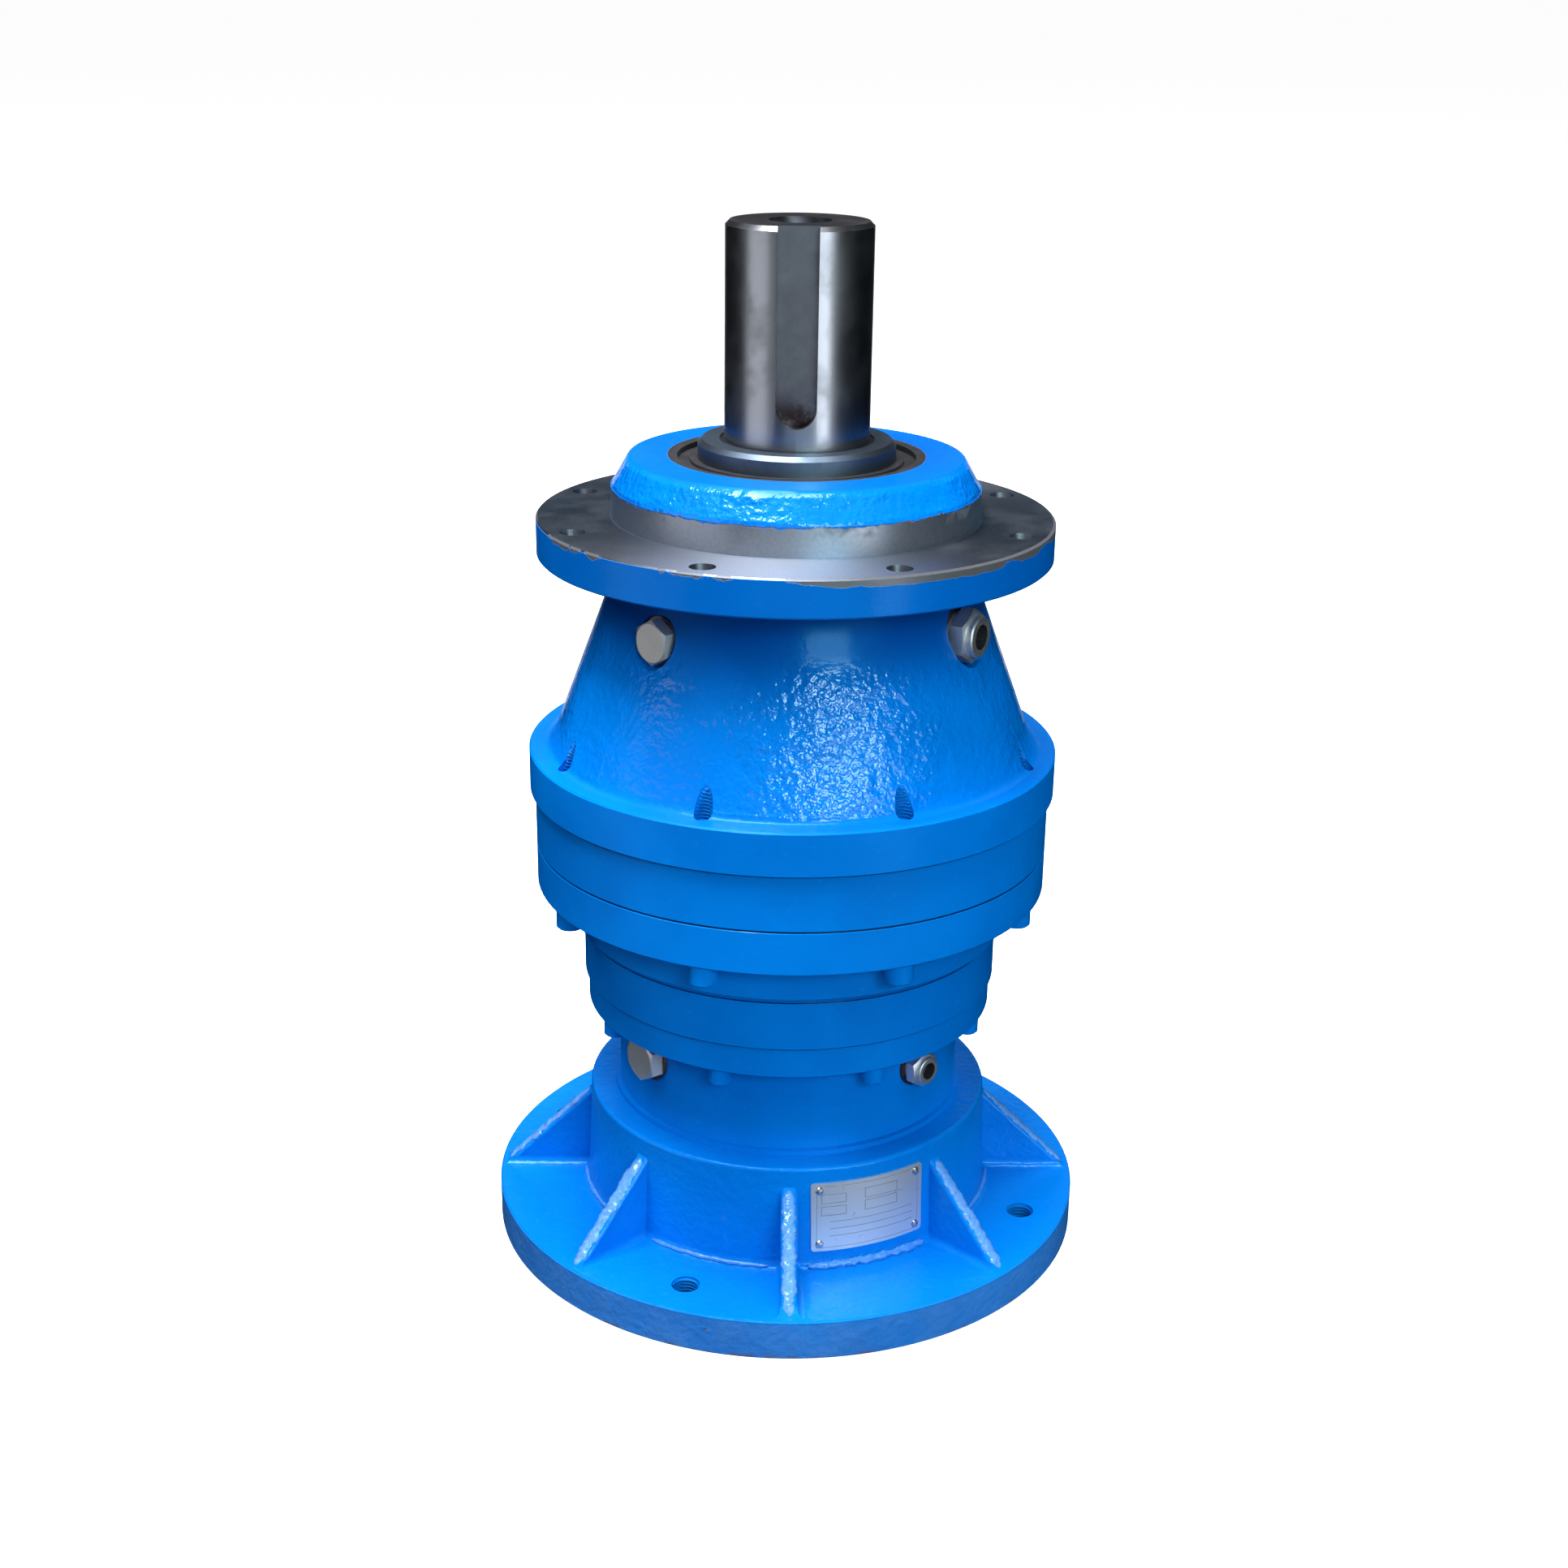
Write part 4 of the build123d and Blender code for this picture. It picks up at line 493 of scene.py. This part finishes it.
def vented_zinc(name):
    """Zinc plating with painted shade, near black, inside the bores of the two vents."""
    tree = Tree(name)
    speck = tree.noise(300.0, 2.0, 0.6)
    shade = tree.mix(tree.noise(45.0, 3.0, 0.6), VENT_ZINC_GREY, VENT_ZINC_LIGHT)
    bore = tree.either(inside_bore(tree, UPPER_VENT_TURN, UPPER_VENT_Z, UPPER_VENT_BORE_R),
                       inside_bore(tree, LOWER_VENT_TURN, LOWER_VENT_Z, LOWER_VENT_BORE_R))
    tree.bump([(speck, 0.02 * MM)])
    # The bores get painted shade and less metal.
    return tree.finish(Base_Color=tree.mix(bore, shade, BORE_PAINTED_SHADE), Metallic=tree.spread(bore, 1.0, 0.2),
                       Roughness=tree.spread(speck, 0.42, 0.58))


def rubber(name):
    """Dull black rubber."""
    tree = Tree(name)
    shade = tree.mix(tree.noise(120.0, 3.0, 0.6), RUBBER_BLACK, RUBBER_WORN)
    tree.bump([(tree.noise(900.0, 2.0, 0.6), 0.03 * MM)])
    return tree.finish(Base_Color=shade, Roughness=tree.spread(tree.noise(60.0), 0.35, 0.6))


def printed_plate(name):
    """Satin aluminium with a printed border, four empty boxes and three rules."""
    tree = Tree(name)
    turn = tree.math("ARCTAN2", tree.axis("Y"), tree.axis("X"))
    along = tree.math("MULTIPLY", tree.math("SUBTRACT", turn, radians(PLATE_TURN)), HUB_FOOT_R)
    up = tree.math("SUBTRACT", tree.axis("Z"), (PLATE_LOW_Z + PLATE_HIGH_Z) / 2)

    def past(value, centre, half):
        """How far a value lies outside a span, which has a centre and half its size."""
        return tree.math("SUBTRACT", tree.math("ABSOLUTE", tree.math("SUBTRACT", value, centre)), half)

    def outline(x, y, half_w, half_h, line_w):
        """A rectangle's outline, in millimetres from the plate's centre."""
        side = past(along, x * MM, half_w * MM)
        level = past(up, y * MM, half_h * MM)
        away = tree.math("ABSOLUTE", tree.math("MAXIMUM", side, level))
        soft = 0.08
        return tree.without(tree.ramp(away, (line_w / 2 - soft) * MM, (line_w / 2 + soft) * MM))

    thin = 0.35
    thick = 0.45
    border_half_w = PLATE_W / MM / 2 - 2.6
    border_half_h = (PLATE_HIGH_Z - PLATE_LOW_Z) / MM / 2 - 2.2
    lines = [outline(0, 0, border_half_w, border_half_h, thin)]
    for level in (12.2, 4.6):
        lines.append(outline(7.0, level, 10.2, 3.0, thick))
        lines.append(outline(-22.0, level - 0.8, 7.2, 2.7, thick))
    for level in (-3.0, -7.5, -12.0):
        lines.append(outline(2.0, level, 26.0, 0.05, thin))
    ink = tree.times(tree.either(*lines), 0.75)
    stains = tree.times(tree.ramp(tree.noise(160.0, 4.0, 0.65), 0.62, 0.7), 0.45)
    grain = tree.noise(60.0, 3.0, 0.7, tree.scaled((1, 1, 60)))
    shade = tree.mix(grain, PLATE_GREY, PLATE_LIGHT)
    shade = tree.mix(ink, shade, INK)
    shade = tree.mix(stains, shade, PLATE_STAIN)
    tree.bump([(grain, 0.02 * MM), (tree.without(ink), 0.04 * MM)])
    return tree.finish(Base_Color=shade, Metallic=tree.spread(ink, 0.85, 0.1),
                       Roughness=tree.spread(grain, 0.38, 0.55))


# Painted highlight: the beads' paint is mixed paler where their lumps catch the top light.
bead_paint = enamel("bead_enamel", cast_bump=1.8 * MM, coat=0.8, painted_highlight=0.45)
foot_bead_paint = enamel("foot_bead_enamel", cast_bump=1.2 * MM, coat=0.6, painted_highlight=0.24)
adapter_paint = enamel("adapter_enamel", cast_bump=0.9 * MM, coat=0.25, chips_where=adapter_chips)
smooth_paint = enamel("smooth_enamel", cast_bump=0.10 * MM, coat=0.15)
# The housing's paint carries painted shade under its flange, on its rim and on the boss's top.
housing_paint = enamel("housing_enamel", cast_bump=3.2 * MM, coat=0.9, painted_shade_where=housing_painted_shade,
                       cast_where=housing_cast, bare_where=housing_bare)
# Painted shade on the threads in the holes
thread_painted_shade_paint = hole_painted_shade_enamel("thread_painted_shade_enamel")
shaft_steel = turned_steel("ground_steel", SHAFT_STEEL, roughness=(0.24, 0.36), keyway=True)
sleeve_steel = turned_steel("sleeve_steel", SLEEVE_STEEL, roughness=(0.38, 0.52))
gear_steel = plain_metal("gear_steel", GEAR_STEEL, roughness=(0.25, 0.4))
bearing_steel = plain_metal("bearing_steel", BEARING_STEEL, roughness=(0.08, 0.16))
cage_steel = plain_metal("cage_steel", CAGE_STEEL, roughness=(0.3, 0.45))
bronze = plain_metal("bronze", BRONZE, roughness=(0.25, 0.4))
black_steel = plain_metal("black_steel", BLACK_STEEL, roughness=(0.35, 0.5))
zinc = plain_metal("zinc_plating", ZINC, roughness=(0.45, 0.62), grain=300.0)
# The washers' dull copper is darkened further as painted shade in the spot faces.
copper = plain_metal("copper_washer_painted_shade", COPPER_AND_PAINTED_SHADE, roughness=(0.4, 0.55))
vent_metal = vented_zinc("vent_zinc")
nitrile = rubber("nitrile_rubber")
plate_metal = printed_plate("nameplate_aluminium")
rivet_metal = plain_metal("rivet_aluminium", RIVET_ALUMINIUM, roughness=(0.25, 0.4))

slot_material = {
    "casing_paint": smooth_paint, "machined_steel": shaft_steel, "gear_steel": gear_steel,
    "bearing_steel": bearing_steel, "cage_steel": cage_steel, "bronze": bronze,
    "black_steel": black_steel, "zinc_plated": zinc, "copper": copper, "seal_rubber": nitrile,
    "plate_aluminium": plate_metal,
}
node_material = {
    "motor_adapter": adapter_paint, "output_housing": housing_paint, "nameplate_rivets": rivet_metal,
    "seal_sleeve": sleeve_steel, "output_shaft": shaft_steel, "vent_plugs": vent_metal,
}
node_slot = {part["node"]: part["material_slot"] for part in frame["record"]["subparts"]}

for name, node in nodes.items():
    node.data.materials.clear()
    node.data.materials.append(node_material.get(name, slot_material[node_slot[name]]))


# Mesh pieces

def skin(mesh, rings):
    """A closed surface through rings of points, with a face over each end."""
    rows = [[mesh.verts.new(point) for point in ring] for ring in rings]
    for low, high in zip(rows, rows[1:]):
        for i, corner in enumerate(low):
            after = (i + 1) % len(low)
            mesh.faces.new((corner, low[after], high[after], high[i]))
    mesh.faces.new(rows[0])
    mesh.faces.new(rows[-1])


def piece(name, mesh, material, body, smooth):
    """Turn a bmesh into an object that rides on a body."""
    bmesh.ops.recalc_face_normals(mesh, faces=mesh.faces)
    data = bpy.data.meshes.new(name)
    mesh.to_mesh(data)
    mesh.free()
    data.materials.append(material)
    data.polygons.foreach_set("use_smooth", [smooth] * len(data.polygons))
    thing = bpy.data.objects.new(name, data)
    bpy.context.scene.collection.objects.link(thing)
    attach(thing, body)


def outward(turn):
    return Vector((cos(radians(turn)), sin(radians(turn)), 0))


def bead(mesh, centres, sides, ups, half_w, half_h, seed, lump):
    """A run of weld or of thick paint: an uneven oval section along a line of centres."""
    corner_count = 14
    end_power = 10        # how late the run starts to narrow towards its ends
    end_share = 0.12
    coarse_scale = 210
    fine_scale = 620
    rings = []
    last = len(centres) - 1
    for i, centre in enumerate(centres):
        taper = max(end_share, 1 - abs(2 * i / last - 1) ** end_power) ** 0.5
        ring = []
        for k in range(corner_count):
            angle = 2 * pi * k / corner_count
            ray = sides[i] * (half_w * cos(angle)) + ups[i] * (half_h * sin(angle))
            spot = centre + ray
            coarse = noise.noise(spot * coarse_scale + Vector((seed, 0, 0)))
            fine = noise.noise(spot * fine_scale + Vector((0, seed, 0)))
            ring.append(centre + ray * taper * (1 + lump * (0.8 * coarse + 0.8 * fine)))
        rings.append(ring)
    skin(mesh, rings)


def rib_beads():
    """The rough run along each rib's sloping edge."""
    mesh = bmesh.new()
    top = Vector((HUB_TOP_R + 2 * MM, MOTOR_FLANGE_T + RIB_RISE - 1.5 * MM))
    foot = Vector((RIB_END_R - 0.5 * MM, MOTOR_FLANGE_T + 0.5 * MM))
    slope = (foot - top).normalized()
    half_w = RIB_T / 2 - 1.0 * MM
    half_h = 1.7 * MM
    sink = 0.8 * MM
    sway_reach = 0.5 * MM
    step_count = 66
    for k in range(RIB_COUNT):
        out = outward(RIB_TURN + k * 360 / RIB_COUNT)
        side = Vector((-out.y, out.x, 0))
        up = out * -slope.y + Vector((0, 0, slope.x))
        centres = []
        for i in range(step_count + 1):
            r, z = top.lerp(foot, i / step_count)
            sway = sway_reach * noise.noise(Vector((i * 0.23, k * 7.0, 0)))
            centres.append(out * r + Vector((0, 0, z)) + side * sway - up * sink)
        bead(mesh, centres, [side] * len(centres), [up] * len(centres), half_w, half_h, k * 3.1, 0.40)
    piece("rib_beads", mesh, bead_paint, "casing", True)


def hub_foot_beads():
    """The run along the foot of the hub between the ribs, thicker and rougher under the nameplate."""
    mesh = bmesh.new()
    pitch = 360 / RIB_COUNT
    margin = 5.2          # degrees between a rib's middle and the run's end
    cast_round = 2.1 * MM
    sway_reach = 0.35 * MM
    step_count = 88
    for k in range(RIB_COUNT):
        start = RIB_TURN + k * pitch + margin
        end = start + pitch - 2 * margin
        under_plate = start < PLATE_TURN < end
        half = (2.3 if under_plate else 1.25) * MM
        lump = 0.55 if under_plate else 0.38
        centres, sides, ups = [], [], []
        for i in range(step_count + 1):
            out = outward(start + (end - start) * i / step_count)
            diagonal = (out + Vector((0, 0, 1))).normalized()
            sway = sway_reach * noise.noise(Vector((i * 0.15, k * 5.0, 3.0)))
            corner = out * HUB_FOOT_R + Vector((0, 0, MOTOR_FLANGE_T))
            centres.append(corner + diagonal * (cast_round + 0.25 * half + sway))
            sides.append((out - Vector((0, 0, 1))).normalized())
            ups.append(diagonal)
        bead(mesh, centres, sides, ups, half, 0.8 * half, k * 5.7 + 40, lump)
    piece("hub_foot_beads", mesh, foot_bead_paint, "casing", True)


def cone_r_at(z):
    return CONE_FOOT_R + (CONE_TOP_R - CONE_FOOT_R) * (z - Z_CONE) / CONE_H


def thread(mesh, x, y, radius, pitch, z_low, z_high, has_wall):
    """The ridges of a thread inside a hole, where has_wall says that the hole has a wall."""
    step_count = 40       # in a turn
    depth = 0.55 * pitch
    half = Vector((0, 0, 0.42 * pitch))
    sink = 0.05 * MM
    runs = [[]]
    turns = (z_high - z_low) / pitch
    for i in range(int(turns * step_count) + 1):
        angle = 2 * pi * i / step_count
        z = z_low + pitch * i / step_count
        ray = Vector((cos(angle), sin(angle), 0))
        wall = Vector((x, y, z)) + ray * (radius + sink)
        if not has_wall(wall):
            if runs[-1]:
                runs.append([])
            continue
        runs[-1].append([wall - half, wall - ray * depth, wall + half])
    for run in runs:
        if len(run) > 2:
            skin(mesh, run)


def everywhere(wall):
    return True


def under_cone(wall):
    """Whether a place is inside the cone, so that the half hole there has a wall."""
    return hypot(wall.x, wall.y) < cone_r_at(wall.z) - 0.6 * MM


def casing_threads():
    """The threads in the base's holes and in the half holes at the cone's foot."""
    mesh = bmesh.new()
    for k in range(MOTOR_HOLE_COUNT):
        place = outward(MOTOR_HOLE_TURN + k * 360 / MOTOR_HOLE_COUNT) * MOTOR_HOLE_CIRCLE_R
        thread(mesh, place.x, place.y, MOTOR_HOLE_R, 2.0 * MM, 1.5 * MM, MOTOR_FLANGE_T - 1.5 * MM,
               everywhere)
    for k in range(BOLT_COUNT):
        place = outward(BOLT_TURN + k * 360 / BOLT_COUNT) * BOLT_CIRCLE_R
        thread(mesh, place.x, place.y, BOLT_HOLE_R, 1.9 * MM, Z_CONE - BOLT_END_SINK + 0.8 * MM,
               Z_CONE + 15.5 * MM, under_cone)
    piece("casing_threads", mesh, thread_painted_shade_paint, "casing", False)


def shaft_end_thread():
    mesh = bmesh.new()
    thread(mesh, 0, 0, SHAFT_HOLE_R, 3.0 * MM, Z_SHAFT_TOP - SHAFT_HOLE_DEPTH + 3 * MM,
           Z_SHAFT_TOP - SHAFT_RECESS_DEPTH - 2 * MM, everywhere)
    piece("shaft_end_thread", mesh, shaft_steel, "output", False)


rib_beads()
hub_foot_beads()
casing_threads()
shaft_end_thread()


# Floor and light

FLOOR_SIZE = 400.0
FLOOR_GREY = (0.86, 0.86, 0.86)
FLOOR_LIGHT = (0.90, 0.90, 0.90)
WHITE = (1.0, 1.0, 1.0)
FAINT_BLUE = (0.96, 0.97, 1.0)
PALE_BLUE = (0.93, 0.97, 1.0)
FILL_BLUE = (0.93, 0.96, 1.0)
SKY_BLUE = (0.85, 0.92, 1.0)
FRONT_BLUE = (0.80, 0.90, 1.0)
CYAN = (0.72, 1.0, 0.98)


def pale_floor():
    """A white floor that the shine of the gearbox doesn't pick up."""
    tree = Tree("pale_floor")
    shade = tree.mix(tree.noise(2.0), FLOOR_GREY, FLOOR_LIGHT)
    half = FLOOR_SIZE / 2
    mesh = bpy.data.meshes.new("floor")
    mesh.from_pydata([(-half, -half, 0), (half, -half, 0), (half, half, 0), (-half, half, 0)], [],
                     [(0, 1, 2, 3)])
    mesh.materials.append(tree.finish(Base_Color=shade, Roughness=0.8, Emission_Color=WHITE,
                                      Emission_Strength=0.98))
    floor = bpy.data.objects.new("floor", mesh)
    floor.visible_glossy = False
    floor.visible_diffuse = False
    floor.visible_shadow = False
    bpy.context.scene.collection.objects.link(floor)


def studio_world():
    """A white backdrop that lights nothing."""
    backdrop = bpy.data.worlds.new("studio")
    backdrop.use_nodes = True
    shader = backdrop.node_tree.nodes["Background"]
    shader.inputs["Color"].default_value = (*WHITE, 1)
    shader.inputs["Strength"].default_value = 1.0
    backdrop.cycles_visibility.diffuse = False
    backdrop.cycles_visibility.glossy = False
    bpy.context.scene.world = backdrop


def around(azimuth, distance, z):
    """A place round the axis. Azimuth 0 is the camera's side and 90 its right."""
    return Vector((sin(radians(azimuth)) * distance, -cos(radians(azimuth)) * distance, z))


def soft_box(name, place, target, size, power, colour=WHITE, shines=True):
    """A rectangular light of some watts. One that doesn't shine leaves no highlight."""
    data = bpy.data.lights.new(name, "AREA")
    data.shape = "RECTANGLE"
    data.size, data.size_y = size
    data.energy = power
    data.color = colour
    light = bpy.data.objects.new(name, data)
    light.location = place
    light.rotation_euler = (target - place).to_track_quat("-Z", "Y").to_euler()
    light.visible_camera = False
    light.visible_glossy = shines
    bpy.context.scene.collection.objects.link(light)


def panel(name, azimuth, distance, z, size, power, colour, shines=True):
    """An upright soft panel that faces the axis."""
    soft_box(name, around(azimuth, distance, z), Vector((0, 0, z)), size, power, colour, shines)


def high_fill(name, azimuth, power):
    """A soft light from above that leaves no highlight."""
    soft_box(name, around(azimuth, distance=1.9, z=2.1), target=Vector((0, 0, 0.25)), size=(1.2, 1.2),
             power=power, colour=FILL_BLUE, shines=False)


pale_floor()
studio_world()
soft_box("top", place=Vector((-0.5, -0.3, 3.6)), target=Vector((0, 0, 0.2)), size=(2.0, 2.0), power=290)
panel("right", azimuth=40, distance=2.2, z=0.2, size=(0.6, 1.0), power=9.5, colour=PALE_BLUE)
panel("left", azimuth=-66, distance=2.2, z=0.2, size=(1.6, 1.0), power=7, colour=FAINT_BLUE)
panel("front", azimuth=0, distance=2.6, z=0.2, size=(1.9, 1.1), power=3.4, colour=FRONT_BLUE)
panel("back", azimuth=180, distance=2.6, z=0.0, size=(1.6, 1.3), power=7, colour=SKY_BLUE)
panel("low_front", azimuth=0, distance=2.4, z=0.2, size=(2.4, 0.8), power=7, colour=SKY_BLUE,
      shines=False)
soft_box("glint", place=Vector((0.66, -1.90, 1.20)), target=Vector((0, 0, 0.35)), size=(0.9, 0.5),
         power=24, colour=CYAN)
high_fill("fill_left", azimuth=-65, power=24)
high_fill("fill_right", azimuth=60, power=18)
high_fill("fill_back_left", azimuth=-140, power=22)
high_fill("fill_back_right", azimuth=140, power=22)


# Camera at the photo's place

FOCAL_PX = 2698
IMAGE_PX = 1932
SENSOR_MM = 36.0
CAMERA_PLACE = Vector((0, -1.192, 0.710))
PITCH = radians(20.19)
YAW = radians(-0.20)
ROLL = radians(0.88)
ORBIT = radians(-1.0)


def camera():
    """Pitch, yaw and roll turn the view, and the orbit takes the whole camera round the common axis."""
    data = bpy.data.cameras.new("camera")
    data.lens = FOCAL_PX / IMAGE_PX * SENSOR_MM
    data.sensor_width = SENSOR_MM
    data.clip_start = 0.05
    data.clip_end = FLOOR_SIZE
    eye = bpy.data.objects.new("camera", data)
    ahead = Vector((0, cos(PITCH), -sin(PITCH)))
    right = Vector((1, 0, 0))
    up = right.cross(ahead)
    ahead, right = cos(YAW) * ahead + sin(YAW) * right, cos(YAW) * right - sin(YAW) * ahead
    right, up = cos(ROLL) * right + sin(ROLL) * up, cos(ROLL) * up - sin(ROLL) * right
    turned = Matrix((right, up, -ahead)).transposed().to_4x4()
    eye.matrix_world = Matrix.Rotation(ORBIT, 4, "Z") @ Matrix.Translation(CAMERA_PLACE) @ turned
    bpy.context.scene.collection.objects.link(eye)
    bpy.context.scene.camera = eye


camera()
bpy.context.scene.view_settings.view_transform = "Standard"
